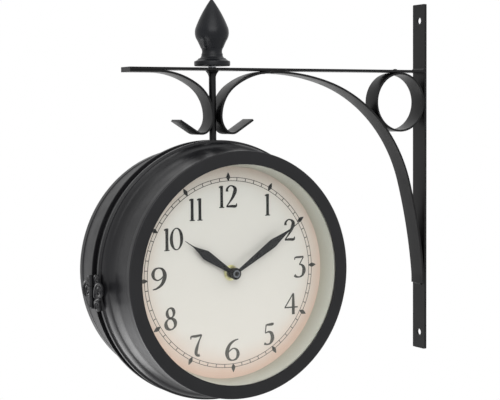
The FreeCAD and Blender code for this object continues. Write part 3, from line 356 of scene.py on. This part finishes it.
def moulded(colour, rough):
    """Moulded plastic with a fine matt grain."""
    def build(kit):
        grains = kit.noise(600.0, 3.0)
        dark = tuple(0.86 * c for c in linear(colour))
        return {"Base Color": kit.mix(kit.spans(kit.noise(60.0), 0.3, 0.7), dark, linear(colour)),
                "Roughness": kit.spans(grains, 0.2, 0.8, rough - 0.05, rough + 0.05),
                "Normal": kit.bump(grains, 0.00003)}
    return build


def off_middle(kit):
    """Place less the drum's middle, in metres."""
    return kit.vector("SUBTRACT", kit.place(), tuple(CLOCK * MM)).outputs[0]


def from_axis(kit):
    """Distance in metres from the line through the drum's middle along y."""
    flat = kit.vector("MULTIPLY", off_middle(kit), (1, 0, 1)).outputs[0]
    return Value(kit, kit.vector("LENGTH", flat).outputs["Value"])


def cap_plastic(kit):
    """Black cap with a painted highlight: pale on its raised ring, 2.3 to 3.1 mm from the axis."""
    radius = from_axis(kit)
    # painted highlight: the raised ring, 2.3 to 3.1 mm from the axis, is coloured pale
    ring = kit.spans(radius, 0.0018, 0.0023) * kit.spans(radius, 0.0031, 0.0037, 1.0, 0.0)
    grains = kit.noise(600.0, 3.0)
    painted_ring_highlight = ring * kit.spans(grains, 0.2, 0.6, 0.7, 1.0)
    return {"Base Color": kit.mix(painted_ring_highlight, linear((8, 8, 9)), linear((104, 108, 114))),
            "Roughness": kit.spans(grains, 0.2, 0.8, 0.2, 0.3), "Normal": kit.bump(grains, 0.00001),
            "Specular IOR Level": 0.25}


def turned_metal(light, dark, rough):
    """Metal with fine turning rings about the drum's axis, sin(5200 r), and a slow change of tarnish."""
    def build(kit):
        rings = (from_axis(kit) * 5200.0).math("SINE")
        tarnish = kit.spans(kit.noise(300.0, 4.0), 0.3, 0.75)
        return {"Base Color": kit.mix(tarnish, linear(light), linear(dark)), "Metallic": 1.0,
                "Roughness": kit.spans(kit.noise(900.0), 0.2, 0.8, rough - 0.06, rough + 0.08),
                "Normal": kit.bump(rings, 0.000008)}
    return build


def dial_enamel(kit):
    """Ivory face, greyer toward the top as a painted shadow of the bezel, with a darker peach tint, painted
    shade of the well, that grows toward the rim and the foot.
    """
    z = kit.parts(off_middle(kit))[2]
    cloud = kit.noise(28.0, 5.0, 0.6)
    # painted shade of the well: a darker peach tint toward the rim, stronger toward the foot
    well_shade = kit.spans(from_axis(kit) + (cloud - 0.5) * 0.012 - z * 0.06, 0.068, 0.096) ** 1.5
    # painted shadow of the bezel: the face is greyer toward the top
    height = kit.spans(z, -0.09, 0.09)
    centre = kit.mix(height, linear((226, 221, 215)), linear((203, 201, 196)))
    well_shade_tint = kit.mix(height, linear((222, 195, 180)), linear((206, 184, 168)))
    speck = kit.spans(kit.noise(900.0, 2.0), 0.62, 0.8, 0.0, 0.06)
    shade = kit.mix(speck, kit.mix(well_shade, centre, well_shade_tint), linear((150, 130, 110)))
    return {"Base Color": shade, "Roughness": kit.spans(cloud, 0.2, 0.8, 0.5, 0.62),
            "Normal": kit.bump(kit.noise(1500.0), 0.00001), "Specular IOR Level": 0.3}


def dial_ink(kit):
    """Black print, fading to grey toward the foot of the dial."""
    height = kit.spans(kit.parts(kit.place())[2], -0.150, -0.02)
    speck = kit.spans(kit.noise(2500.0, 2.0), 0.5, 0.8, 0.0, 0.1)
    ink = kit.mix(height, linear((96, 94, 90)), linear((8, 8, 9)))
    return {"Base Color": kit.mix(speck, ink, linear((120, 116, 108))), "Roughness": 0.6,
            "Normal": kit.bump(kit.noise(3000.0), 0.000005), "Specular IOR Level": 0.1}


def pale_lining(kit):
    """Pale grey-green lining of the dial's well, darker toward the dial as painted shade deep in the well."""
    # painted shade: the lining is darker toward the dial, deep in the well
    depth = kit.spans(kit.parts(kit.place())[1].math("ABSOLUTE"), 0.031, 0.050)
    cloud = kit.noise(45.0, 4.0)
    near = kit.mix(kit.spans(cloud, 0.3, 0.7), linear((198, 200, 190)), linear((204, 205, 197)))
    return {"Base Color": kit.mix(depth, linear((178, 178, 166)), near),
            "Roughness": kit.spans(cloud, 0.2, 0.8, 0.4, 0.5), "Normal": kit.bump(kit.noise(900.0), 0.00001)}


def clear_glass():
    """Thin pane: see-through, with a mirror share of 0.45 times Fresnel's, plus a little dust."""
    made, kit = blank_material("clear_glass")
    dust = kit.spans(kit.noise(60.0, 5.0, 0.65), 0.5, 0.9, 0.0, 0.012)
    share = Value(kit, kit.node("ShaderNodeFresnel", None, {"IOR": 1.45}).outputs[0]) * 0.45 + dust
    through = kit.node("ShaderNodeBsdfTransparent", None, {"Color": (0.985, 0.99, 0.985, 1)}).outputs[0]
    mirror = kit.node("ShaderNodeBsdfGlossy", None, {"Roughness": 0.02}).outputs[0]
    mixed = kit.node("ShaderNodeMixShader", None, {0: share, 1: through, 2: mirror}).outputs[0]
    kit.node("ShaderNodeOutputMaterial", None, {"Surface": mixed})
    return made


MATERIALS = {
    "bracket_black": material("bracket_black", coated((9, 9, 10), (13, 13, 14), 0.33, 0.2)),
    "finial_black": material("finial_black", coated((11, 12, 15), (16, 18, 22), 0.36, 0.2, 700.0, 0.000008)),
    "case_black": material("case_black", coated((17, 17, 19), (21, 21, 23), 0.36, 0.25)),
    "dial_print": material("dial_enamel", dial_enamel),
    "dial_ink": material("dial_ink", dial_ink),
    "pale_ring": material("pale_lining", pale_lining),
    "clear_glass": clear_glass(),
    "brass": material("brass", turned_metal((236, 233, 196), (214, 206, 140), 0.30)),
    "hand_black": material("hand_black", coated((18, 18, 21), (24, 24, 28), 0.45, 0.15, 1500.0)),
    "cap_black": material("cap_black", cap_plastic),
    "zinc_steel": material("zinc_steel", turned_metal((200, 202, 206), (160, 162, 166), 0.35)),
    "movement_black": material("movement_black", moulded((40, 40, 41), 0.5)),
    "gear_plastic": material("gear_plastic", moulded((226, 220, 205), 0.45)),
    "battery_sleeve": material("battery_sleeve", moulded((58, 96, 70), 0.3)),
    "circuit_block": material("circuit_block", moulded((44, 84, 60), 0.5)),
}
SLOT_OF = {row["node"]: row["material_slot"] for row in frame["record"]["subparts"]}
SHOWN_AS = {"hinge_pin": "case_black", "front_hand_cap": "cap_black", "rear_hand_cap": "cap_black"}
for node, obj in frame["nodes"].items():
    obj.data.materials.clear()
    obj.data.materials.append(MATERIALS[SHOWN_AS.get(node, SLOT_OF[node])])


# ---------------------------------------------------------------- bracket
BEND, WIDE_RADIUS, NEXT_RADIUS = 35.0, 70.0, 35.0       # the curl's first two arcs, which make a quarter turn
CURL = [("arc", WIDE_RADIUS, BEND), ("arc", NEXT_RADIUS, 90 - BEND), ("arc", 19.0, 45.0), ("arc", 9.5, 77.0),
        ("line", 20.0)]
BRACE = [("arc", 200.0, 17.5), ("arc", 142.3441, 56.5), ("arc", 514.3288, 10.5), ("arc", 60.0, 5.5),
         ("line", 5.0)]
# Distances from the rod: starts of brace and right scroll, the scrolls' hanging parts, and the welds.
BRACE_START, RIGHT_REACH, SCROLL_GAP, WELD_REACH = 60.0, 59.0, 3.25, 58.0
TUBE_TOP, TUBE_FOOT = ARM_LOW, 37.85
TUBE = [(2.05, TUBE_FOOT), (4.2, TUBE_FOOT), (4.2, TUBE_FOOT + 0.6), (3.2, TUBE_FOOT + 4.5, -1.5),
        (3.2, TUBE_TOP - 6.0), (5.8, TUBE_TOP - 0.8, -1.5), (5.8, TUBE_TOP), (2.05, TUBE_TOP)]
# Middle and half sizes of each weld bead: under the arm, then at the wall plate.
BEADS = [((ROD_X + WELD_REACH, y, ARM_LOW - 0.9), (4.2, 1.3, 1.5)) for y in (-8.6, 8.6)]
BEADS += [((-3.6, y, 74.0), (1.2, 2.0, 2.6)) for y in (-7.6, 7.6)]
FINIAL_FOOT = ARM_TOP + 1.6
FINIAL = [(2.02, 0), (15.3, 0), (16.3, 1, QUARTER), (16.3, 3.6), (15.3, 4.6, QUARTER), (12.2, 7.0, -1.6),
          (11.4, 7.0), (9.7, 9.6, -1.2), (9.7, 10.8), (9.2, 11.6), (10.3, 16.6, -1.2), (12.9, 22.4),
          (14.4, 35.1, 1.03), (0.9, 59.7, 3.9), (0.4, 60.5), (0.0, 60.5), (0.0, 12.0), (2.02, 12.0)]


def bracket_piece(name, shell, node):
    piece(name, [shell], MATERIALS["bracket_black"], "bracket", [node])


def make_bracket():
    """Arm, brace, scrolls and ring in flat iron with rounded edges. The ring is the bar's outline turned
    round its own axis, in the box of the node that it stands for."""
    bend = math.sin(math.radians(BEND))
    quarter = WIDE_RADIUS * bend + NEXT_RADIUS * (1 - bend)
    lap = ARM_REACH - SCROLL_GAP - quarter
    right_lap = lap - (ARM_REACH - RIGHT_REACH)
    bracket_piece("arm", strip((ROD_X - ARM_REACH, ARM_TOP), 0, [("line", PLATE_FACE - ROD_X + ARM_REACH)],
                               ARM_TOP - ARM_LOW), "arm_bar")
    bracket_piece("brace", strip((ROD_X + BRACE_START, ARM_LOW), 0, BRACE), "brace_strip")
    bracket_piece("left_scroll", strip((ROD_X - ARM_REACH, ARM_LOW), 0, [("line", lap)] + CURL), "scroll_left")
    bracket_piece("right_scroll", strip((ROD_X - RIGHT_REACH, ARM_LOW), 0, [("line", right_lap)] + CURL,
                                        mirrored=True), "scroll_right")
    low, high = (np.array(corner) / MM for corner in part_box("bracket_ring"))
    middle, radius = (low + high) / 2, (high[0] - low[0]) / 2
    across, into = round_bar(STRIP_WIDTH, STRIP_THICK).T
    outline = np.stack([radius - into, across], -1)
    bracket_piece("ring", lathe(outline, centre=middle, count=160), "bracket_ring")


def lump(centre, sizes):
    """Weld bead: an oval ball, centre + sizes * (s sin u cos v, s sin u sin v, cos u), where
    s = 1 + 0.12 sin(3 v + 1) sin(u)^2."""
    u = np.linspace(0.02, math.pi - 0.02, 13)[:, None]
    v = np.linspace(0, 2 * math.pi, 24, endpoint=False)
    swell = 1 + 0.12 * np.sin(3 * v + 1.0) * np.sin(u) ** 2
    ball = np.stack([np.sin(u) * np.cos(v) * swell, np.sin(u) * np.sin(v) * swell, np.cos(u) + 0 * v], -1)
    return skin(ball * sizes + centre)


def make_welds():
    """Beads at both edges of the iron: under the arm where scroll and brace start, and at the plate."""
    piece("weld_lumps", [lump(*bead) for bead in BEADS], MATERIALS["bracket_black"], "bracket",
          sharp=SOFT)


def make_tube():
    """Spacer tube with flared ends: a closed profile turned round the rod."""
    bracket_piece("tube", lathe(eased(TUBE, 0.25), "z", np.array([ROD_X, 0, 0]), 64), "rod_tube")


def make_finial():
    """Spear finial on its base flange: a closed profile turned round the rod, its tip and core on the axis."""
    profile = eased(FINIAL, 0.5)
    profile[:, 0] = np.maximum(profile[:, 0], 0.0)
    piece("spear_finial", [lathe(profile, "z", np.array([ROD_X, 0, FINIAL_FOOT]), 96)],
          MATERIALS["finial_black"], "bracket", ["finial"])


# ---------------------------------------------------------------- drum
# Profiles are (distance from the drum's axis, y) of the front side.
SHELL = [(114.0, -5.5), (117.8, -5.5), (117.8, -8.7), (115.8, -9.2), (112.0, -17.0, -1.05), (108.7, -27.0, 1.7),
         (108.7, -46.6), (107.8, -47.0), (107.8, -50.5), (100.6, -50.5), (100.6, -49.3), (106.6, -49.3),
         (106.6, -27.0), (110.8, -17.0, -1.8), (114.0, -10.2)]
BEZEL = [(97.2, -54.0), (108.1, -54.0), (109.3, -52.8, QUARTER), (109.3, -47.6), (108.2, -46.5),
         (107.9, -46.5), (107.9, -52.5), (97.2, -52.5)]
LINING = [(94.7, -31.2), (97.6, -50.4), (98.6, -50.4), (98.6, -49.2), (101.8, -49.2), (101.8, -48.2),
          (98.6, -48.2), (95.7, -31.2)]
PANE = [(0, -52.5), (104, -52.5), (104, -50.5), (0, -50.5)]
NUT = [(4.0, -31.2), (7.0, -31.2), (7.0, -31.7), (5.8, -31.7), (5.8, -32.5), (5.4, -32.8), (4.0, -32.8)]
CAP = [(1.72, -40.35), (5.3, -40.35), (5.3, -41.0), (4.6, -41.2), (3.9, -40.8), (3.5, -42.2), (3.0, -42.65),
       (2.3, -42.65), (1.8, -41.6), (0.0, -41.6), (0.0, -41.0), (1.72, -41.0)]
BAND = [(111.3, -8), (113.5, -8), (113.5, 5.45), (113.9, 5.45), (113.9, 9.5), (111.3, 9.5)]


def make_half(side, body, turn):
    """Shell, bezel, lining, glass and hub pieces of one side, each a closed profile turned round the drum's
    axis; turn takes front points to that side."""
    def turned(name, corners, ease, slot, kind=None, count=240, rides=body):
        points, faces = lathe(eased(corners, ease), count=count)
        piece(f"{side}_{name}_skin", [(turn(points), faces)], MATERIALS[kind or slot], rides,
              [f"{side}_{name}"])
    turned("shell", SHELL, 0.35, "case_black")
    turned("bezel", BEZEL, 0.35, "case_black")
    turned("reflector", LINING, 0.15, "pale_ring")
    turned("glass", PANE, 0.2, "clear_glass", count=128)
    turned("dial_nut", NUT, 0.2, "brass", count=72)
    turned("hand_cap", CAP, 0.25, "hand_black", "cap_black", 72, side + "_minutes")


def make_band():
    """Band between the halves: a closed profile turned round the drum's axis."""
    piece("band_skin", [lathe(eased(BAND, 0.15))], MATERIALS["case_black"], "case",
          ["centre_band"])


def coil(y, z, radius, end, start, turns, swell=1.0):
    """Rows (y, z, swell) of a coil round (y, z): its radius falls in a straight line from radius to end while
    it turns from start degrees through so many turns; swell is the rib's size there."""
    t = np.linspace(0, 1, max(8, int(14 * abs(turns))))
    angle, r = math.radians(start) + 2 * math.pi * turns * t, radius + (end - radius) * t
    return np.stack([y + r * np.cos(angle), z + r * np.sin(angle), swell * (1 - 0.45 * t)], -1)


RIB_WIDTH, RIB_HEIGHT, RIB_ROOT = 2.3, 1.7, 0.5     # the root goes into the hinge leaf


def rib(rows):
    """Raised rib on the hinge's outer face along a smooth line of (y, z, swell) rows, z from HINGE_Z. Its
    section is half an oval, RIB_WIDTH across and RIB_HEIGHT tall, times the swell there. The ends are rounded
    off by the square root of 18 times the share of the line up to the nearer end, held from 0.02 to 1."""
    path = smooth_line(rows, 5)
    side = sideways(path)
    t = np.linspace(0, 1, len(path))
    size = path[:, 2] * np.sqrt(np.clip(np.minimum(t, 1 - t) * 18, 0.02, 1))
    a = np.linspace(0, math.pi, 9)
    across = np.concatenate([np.cos(a), [-1, 1]]) * RIB_WIDTH / 2 * size[:, None]
    out = np.concatenate([np.sin(a) * RIB_HEIGHT, [-RIB_ROOT, -RIB_ROOT]]) * size[:, None]
    yz = path[:, None, :2] + side[:, None] * across[..., None]
    return skin(np.stack([HINGE_FACE - out, yz[..., 0], yz[..., 1] + HINGE_Z], -1))


BEHIND = [coil(10.8, 1.0, 9.3, 2.2, -60, 1.55, 1.1), coil(8.5, -3.5, 3.6, 1.2, 150, -1.0, 0.8),
          coil(5.6, -12.4, 4.1, 1.1, 60, 1.3, 0.8), [(2.2, 9.0, 0.6), (6.0, 12.0, 0.8), (10.5, 12.2, 0.5)],
          [(1.8, -4.0, 0.6), (2.6, -8.0, 0.9), (5.8, -9.0, 0.6)]]
AHEAD = [coil(-13.4, 2.0, 5.4, 1.3, 20, -1.45, 0.9), coil(-8.2, -12.3, 4.3, 1.1, 110, -1.3, 0.8),
         coil(-9.2, 11.2, 2.6, 0.9, 250, 1.1, 0.7),
         [(-3.6, -6.0, 0.6), (-4.6, 0.0, 1.0), (-8.2, 6.6, 0.9), (-13.5, 8.4, 0.5)],
         [(-4.2, -14.0, 0.6), (-4.6, -9.0, 0.8), (-9.4, -6.2, 0.8), (-14.2, -4.6, 0.5)],
         [(-5.4, 9.6, 0.5), (-4.6, 13.0, 0.7), (-7.4, 15.0, 0.5)]]


def make_ornament():
    """Scroll ribs cast on the two hinge leaves: a big coil behind, a small one in front, lobes and buds."""
    for name, body, lines in (("hinge_scrolls_behind", "case", BEHIND),
                              ("hinge_scrolls_ahead", "door", AHEAD)):
        piece(name, [rib(line) for line in lines], MATERIALS["case_black"], body, sharp=SOFT)


# ---------------------------------------------------------------- dial print
HEAVY = (1.16, 0.014)       # pen widths are taken times the first number plus the second
EVEN = (1.0, 0.0)           # and this leaves them as they are
DIAL_FACE = -31.29          # y of the print's back
PRINT_THICK = 0.08
TURN = -1.2                 # degrees that the minute track and hour marks are turned by
TRACK = (82.0, 85.0)        # radii of the minute track's two rings
RING_LINE, TICK = 0.5, 0.68
MARK_RADIUS, MARK_OUT, MARK_IN, MARK_SIDE = 85.4, 4.3, 3.7, 2.0


def ribbon(left, right, closed=False):
    """Flat band between two lines of (x, z) points, y from 0 to PRINT_THICK."""
    flat = np.stack([left, right, right, left], 1)
    y = np.broadcast_to([0.0, 0.0, PRINT_THICK, PRINT_THICK], flat.shape[:2])
    return skin(np.stack([flat[..., 0], y, flat[..., 1]], -1), rows_closed=closed)


def stroke(line):
    """Pen stroke: a ribbon carried along a smooth line of (x, z, width) rows, its widths made HEAVY."""
    path = smooth_line(line, 7)
    side = sideways(path) * (path[:, 2:3] * HEAVY[0] + HEAVY[1]) / 2
    return ribbon(path[:, :2] + side, path[:, :2] - side)


def loop(cx, cz, rx, rz, thin, wide, lean=0.0, count=48, heavy=HEAVY):
    """Closed stroke along the oval (cx + rx cos t, cz + rz sin t), thin + (wide - thin) cos(t - lean)^2 wide:
    wide at its sides and thin above and below."""
    t = np.linspace(0, 2 * math.pi, count, endpoint=False)
    width = (thin + (wide - thin) * np.cos(t - lean) ** 2) * heavy[0] + heavy[1]
    out = np.stack([np.cos(t), np.sin(t)], -1)
    middle = np.array([cx, cz]) + out * [rx, rz]
    normal = np.stack([np.cos(t) * rz, np.sin(t) * rx], -1)
    normal /= np.hypot(*normal.T)[:, None]
    return ribbon(middle + normal * width[:, None] / 2, middle - normal * width[:, None] / 2, closed=True)


# Digits are 1 high from z = 0, in rows (x, z, pen width); RINGS are the arguments of loop.
SIX = [(.30, .965, .03), (.10, .92, .06), (-.14, .76, .11), (-.27, .52, .15), (-.29, .30, .15),
       (-.19, .09, .09), (.0, .02, .04), (.19, .08, .08), (.28, .27, .13), (.23, .46, .09), (.08, .56, .04),
       (-.08, .52, .04), (-.22, .40, .03)]
PEN = {
    "1": [[(0, .0, .12), (0, .5, .11), (0, .99, .12)], [(.02, .975, .03), (-.14, .92, .05)],
          [(-.13, .012, .028), (.13, .012, .028)]],
    "2": [[(-.22, .72, .11), (-.21, .85, .08), (-.09, .965, .045), (.06, .965, .05), (.19, .85, .13),
           (.18, .69, .15), (.06, .44, .10), (-.12, .2, .05), (-.25, .05, .035)],
          [(-.26, .04, .05), (.0, .05, .09), (.22, .045, .09), (.28, .17, .02)]],
    "3": [[(-.25, .84, .03), (-.21, .945, .05), (.0, .955, .07), (.24, .965, .05)],
          [(.24, .96, .035), (.02, .62, .035)],
          [(.0, .61, .03), (.15, .575, .07), (.25, .45, .13), (.26, .28, .15), (.17, .09, .08), (.0, .02, .045),
           (-.17, .05, .08), (-.26, .12, .11)]],
    "4": [[(.12, .99, .04), (-.33, .36, .04)], [(-.36, .345, .045), (.36, .335, .045)],
          [(.12, .99, .07), (.12, .5, .12), (.12, .0, .12)]],
    "5": [[(-.13, .93, .04), (.02, .935, .08), (.22, .95, .10), (.27, 1.0, .02)],
          [(-.12, .94, .04), (-.17, .56, .035)],
          [(-.17, .55, .03), (.0, .6, .06), (.15, .53, .12), (.21, .36, .15), (.19, .2, .14), (.08, .05, .07),
           (-.08, .02, .05), (-.23, .07, .1)]],
    "6": [SIX],
    "7": [[(-.27, .80, .03), (-.24, .92, .06), (.0, .925, .09), (.28, .96, .06)],
          [(.28, .96, .04), (.14, .68, .06), (.02, .36, .12), (-.01, .14, .12), (.08, .04, .08),
           (.17, .06, .11)]],
    "9": [[(-x, 1 - z, w) for x, z, w in SIX]],
}
RINGS = {"0": [(0, .5, .255, .478, .03, .125, .12)],
         "8": [(0, .76, .17, .22, .045, .12, .35), (0, .265, .235, .245, .045, .14, .35)]}
SHIFTS = {11: (("1", -.195), ("1", .195)), 12: (("1", -.33), ("2", .17)), 10: (("1", -.345), ("0", .13))}
TALL = 19.6                 # height of a numeral, in mm
# Middles of the numerals, from the drum's axis, as the camera of this script finds them in the photograph.
CENTRES = {12: (-2.1, 68.2), 1: (38.5, 59.3), 2: (61.6, 35.3), 3: (71.7, 0.7), 4: (62.8, -32.9),
           5: (38.5, -58.5), 6: (1.2, -69.4), 7: (-35.4, -62.1), 8: (-60.2, -36.3), 9: (-71.1, -0.6),
           10: (-56.1, 33.1), 11: (-34.2, 58.0)}


def numeral(hour):
    """Shells of one numeral, upright, its middle on the hour's place round the dial."""
    x, z = CENTRES[hour]
    shells = []
    for digit, shift in SHIFTS.get(hour, ((str(hour), 0.0),)):
        made = [stroke(line) for line in PEN.get(digit, [])]
        made += [loop(*oval) for oval in RINGS.get(digit, [])]
        for points, faces in made:
            placed = (points - [0, 0, 0.5] + [shift, 0, 0]) * [TALL, 1, TALL]
            shells.append((placed + [x, 0, z], faces))
    return shells


def bars(count, inner, outer, width):
    """Radial bars from inner to outer radius, one each 360/count degrees, as eight-cornered boxes."""
    angle = np.radians(TURN + 360.0 * np.arange(count) / count)[:, None, None]
    r = np.array([inner, outer])[None, :, None]
    w = np.array([-width / 2, width / 2, width / 2, -width / 2])[None, None, :]
    x = r * np.sin(angle) + w * np.cos(angle)
    z = r * np.cos(angle) - w * np.sin(angle)
    y = np.broadcast_to([0.0, 0.0, PRINT_THICK, PRINT_THICK], x.shape)
    return [skin(box) for box in np.stack([x, y, z], -1)]


def lozenges():
    """Twelve pointed marks on the minute track: four-pointed stars with hollow sides, longer outward. Each
    is along = |cos t|^1.7 and across = |sin t|^1.7, with their signs, times its lengths."""
    t = np.linspace(0, 2 * math.pi, 32, endpoint=False)
    along = np.sign(np.cos(t)) * np.abs(np.cos(t)) ** 1.7 * np.where(np.cos(t) > 0, MARK_OUT, MARK_IN)
    across = np.sign(np.sin(t)) * np.abs(np.sin(t)) ** 1.7 * MARK_SIDE
    r = MARK_RADIUS + along
    shells = []
    for k in range(12):
        angle = math.radians(TURN + 30 * k)
        x = r * math.sin(angle) + across * math.cos(angle)
        z = r * math.cos(angle) - across * math.sin(angle)
        shells.append(skin(np.stack([np.stack([x, np.full_like(x, y), z], -1) for y in (0.0, PRINT_THICK)])))
    return shells


def make_print(side, body, turn):
    """Numerals, minute track and hour marks, standing PRINT_THICK proud of DIAL_FACE."""
    shells = [part for hour in range(1, 13) for part in numeral(hour)]
    for radius in TRACK:
        shells.append(loop(0, 0, radius, radius, RING_LINE, RING_LINE, count=240, heavy=EVEN))
    shells += bars(60, *TRACK, TICK) + lozenges()
    moved = [(turn(points + CLOCK + [0, DIAL_FACE, 0]), faces) for points, faces in shells]
    piece(side + "_dial_print", moved, MATERIALS["dial_ink"], body)


# ---------------------------------------------------------------- hands
ROOT, WIDEST, TAPERED = 0.03, 0.57, 0.84    # shares of a hand's length: its start, its widest, its needle
HAND_THICK = 0.5
# name, (length, greatest width, width at the hub, needle's width), y of the face, degrees, hub's bore
HANDS = [("minute", (81.0, 8.4, 2.7, 1.1), -40.35, 57.4, 1.8),
         ("hour", (56.5, 8.8, 3.2, 1.0), -35.95, 303.4, 2.6)]


def hand(length, wide, neck, needle, face, angle):
    """Leaf hand: the half width grows in a straight line from ROOT to WIDEST, then falls as
    (1 - fall)^1.2 to the needle's at TAPERED, and on in a straight line to 0.45 of that at the tip. Its rows
    are then smoothed by weights 1/4, 1/2, 1/4. The face is crowned across, y = face + 0.55 HAND_THICK v^2
    for v from -1 to 1 over the width."""
    s = np.concatenate([np.linspace(ROOT, WIDEST, 14), np.linspace(WIDEST, TAPERED, 18)[1:],
                        np.linspace(TAPERED, 1.0, 6)[1:]])
    fall = np.clip((s - WIDEST) / (TAPERED - WIDEST), 0, 1)
    half = np.where(s < WIDEST, neck / 2 + (wide - neck) / 2 * (s - ROOT) / (WIDEST - ROOT),
                    needle / 2 + (wide - needle) / 2 * (1 - fall) ** 1.2)
    half = half * np.where(s > TAPERED, 1 - 0.55 * (s - TAPERED) / (1 - TAPERED), 1)
    half = np.convolve(np.pad(half, 1, "edge"), [0.25, 0.5, 0.25], "valid")
    v = np.linspace(-1, 1, 9)
    front = np.stack([v, 0.55 * v ** 2], -1)
    ring = np.concatenate([front, [[1, 1.0], [-1, 1.0]]])
    across = half[:, None] * ring[:, 0]
    along = (s * length)[:, None] + 0 * across
    depth = face + HAND_THICK * ring[:, 1] + 0 * across
    a = math.radians(angle)
    x, z = along * math.sin(a) + across * math.cos(a), along * math.cos(a) - across * math.sin(a)
    return skin(np.stack([x, depth, z], -1) + CLOCK)


def make_hands(side, turn):
    """Both hands of one side, each a leaf and a flat hub turned round the drum's axis."""
    for name, sizes, face, angle, bore in HANDS:
        back = face + HAND_THICK
        hub = lathe(eased([(bore, face), (4.6, face), (4.6, back), (bore, back)], 0.1), count=64)
        shells = [hand(*sizes, face, angle), hub]
        piece(f"{side}_{name}_leaf", [(turn(p), f) for p, f in shells], MATERIALS["hand_black"],
              f"{side}_{name}s", [f"{side}_{name}_hand"])


def same(points):
    return points


make_bracket()
make_welds()
make_tube()
make_finial()
make_band()
make_ornament()
for side, body, turn in (("front", "door", same), ("rear", "case", half_turn)):
    make_half(side, body, turn)
    make_print(side, body, turn)
    make_hands(side, turn)


# ---------------------------------------------------------------- floor, light and camera
# From here on lengths are in metres.
FLOOR_Z, FLOOR_HALF = -0.62, 6.0
LIT_TO, WHITE_FROM = 0.9, 1.7       # the floor takes light and shade up to the first, then fades to white
AMBIENT = 0.62                      # the surroundings' light
AIM = (-0.2, 0.0, 0.0)
# name, place, target, size, watts, mirrored, spread in degrees
LAMPS = [("key", (-1.1, -2.2, 1.5), AIM, 2.4, 60.0, True, 180.0),
         ("fill", (1.7, -1.9, 0.7), AIM, 2.2, 19.0, False, 180.0),
         ("top", (0.0, 0.4, 2.2), AIM, 2.4, 16.0, True, 180.0),
         ("low_left", (-0.54, 0.12, -0.58), (-0.28, 0.0, -0.14), 0.8, 5.0, True, 90.0)]
YAW, PITCH, ROLL = 29.796, 3.764, -0.463
CAMERA_PLACE = (-0.78968, -1.03624, 0.06383)
FOCAL_PIXELS, PHOTO_PIXELS, SENSOR = 1296.6, 500.0, 36.0


def white_to_the_eye(kit, lit, white, eye=None):
    """The lit shader, but plain white to mirror and glass rays, and white (or eye) to the camera."""
    rays = kit.node("ShaderNodeLightPath").outputs
    seen = Value(kit, rays["Is Glossy Ray"]).math("MAXIMUM", rays["Is Transmission Ray"])
    base = kit.node("ShaderNodeMixShader", None, {0: seen, 1: lit, 2: white}).outputs[0]
    inputs = {0: rays["Is Camera Ray"], 1: base, 2: eye or white}
    return kit.node("ShaderNodeMixShader", None, inputs).outputs[0]


def make_stage():
    """White floor, flat, that takes light and shade near the clock only."""
    mesh = bpy.data.meshes.new("floor")
    corners = [(-1, -1), (1, -1), (1, 1), (-1, 1)]
    mesh.from_pydata([(x * FLOOR_HALF, y * FLOOR_HALF, FLOOR_Z) for x, y in corners], [], [(0, 1, 2, 3)])
    floor = bpy.data.objects.new("floor", mesh)
    bpy.context.scene.collection.objects.link(floor)
    made, kit = blank_material("pale_floor")
    lit = kit.node("ShaderNodeBsdfDiffuse", None, {"Color": (0.8, 0.8, 0.8, 1)}).outputs[0]
    white = kit.node("ShaderNodeEmission", None, {"Color": (1, 1, 1, 1), "Strength": 1.0}).outputs[0]
    apart = kit.vector("SUBTRACT", kit.place(), (AIM[0], AIM[1], FLOOR_Z)).outputs[0]
    far = kit.spans(Value(kit, kit.vector("LENGTH", apart).outputs["Value"]), LIT_TO, WHITE_FROM)
    near = kit.node("ShaderNodeMixShader", None, {0: far, 1: lit, 2: white}).outputs[0]
    kit.node("ShaderNodeOutputMaterial", None, {"Surface": white_to_the_eye(kit, lit, white, near)})
    mesh.materials.append(made)


def make_world():
    """White surroundings that light the clock by AMBIENT and look plain white."""
    world = bpy.data.worlds.new("studio")
    bpy.context.scene.world = world
    world.use_nodes = True
    world.node_tree.nodes.clear()
    kit = Kit(world.node_tree)
    lit, white = (kit.node("ShaderNodeBackground", None, {"Color": (1, 1, 1, 1), "Strength": power}).outputs[0]
                  for power in (AMBIENT, 1.0))
    kit.node("ShaderNodeOutputWorld", None, {"Surface": white_to_the_eye(kit, lit, white)})


def soft_box(name, place, target, size, power, mirrored, spread):
    """Square area lamp that faces a target; where not mirrored, glass and gloss don't show it."""
    lamp = bpy.data.lights.new(name, "AREA")
    lamp.size, lamp.energy, lamp.spread = size, power, math.radians(spread)
    obj = bpy.data.objects.new(name, lamp)
    obj.location = place
    obj.rotation_euler = (Vector(target) - Vector(place)).to_track_quat("-Z", "Y").to_euler()
    obj.visible_glossy = mirrored
    bpy.context.scene.collection.objects.link(obj)


def make_camera():
    """Lens and place found by fitting the dial's marks, rims, arm and wall plate to the photograph."""
    yaw, pitch, roll = (math.radians(a) for a in (YAW, PITCH, ROLL))
    ahead = Vector((math.sin(yaw) * math.cos(pitch), math.cos(yaw) * math.cos(pitch), -math.sin(pitch)))
    right = Vector((math.cos(yaw), -math.sin(yaw), 0.0))
    up = right.cross(ahead)
    right, up = right * math.cos(roll) + up * math.sin(roll), up * math.cos(roll) - right * math.sin(roll)
    camera = bpy.data.cameras.new("camera")
    camera.sensor_width, camera.lens = SENSOR, FOCAL_PIXELS * SENSOR / PHOTO_PIXELS
    obj = bpy.data.objects.new("camera", camera)
    turn = Matrix((right, up, -ahead)).transposed().to_4x4()
    obj.matrix_world = Matrix.Translation(CAMERA_PLACE) @ turn
    bpy.context.scene.collection.objects.link(obj)
    bpy.context.scene.camera = obj


make_stage()
make_world()
for lamp in LAMPS:
    soft_box(*lamp)
make_camera()
bpy.context.scene.view_settings.view_transform = "Standard"
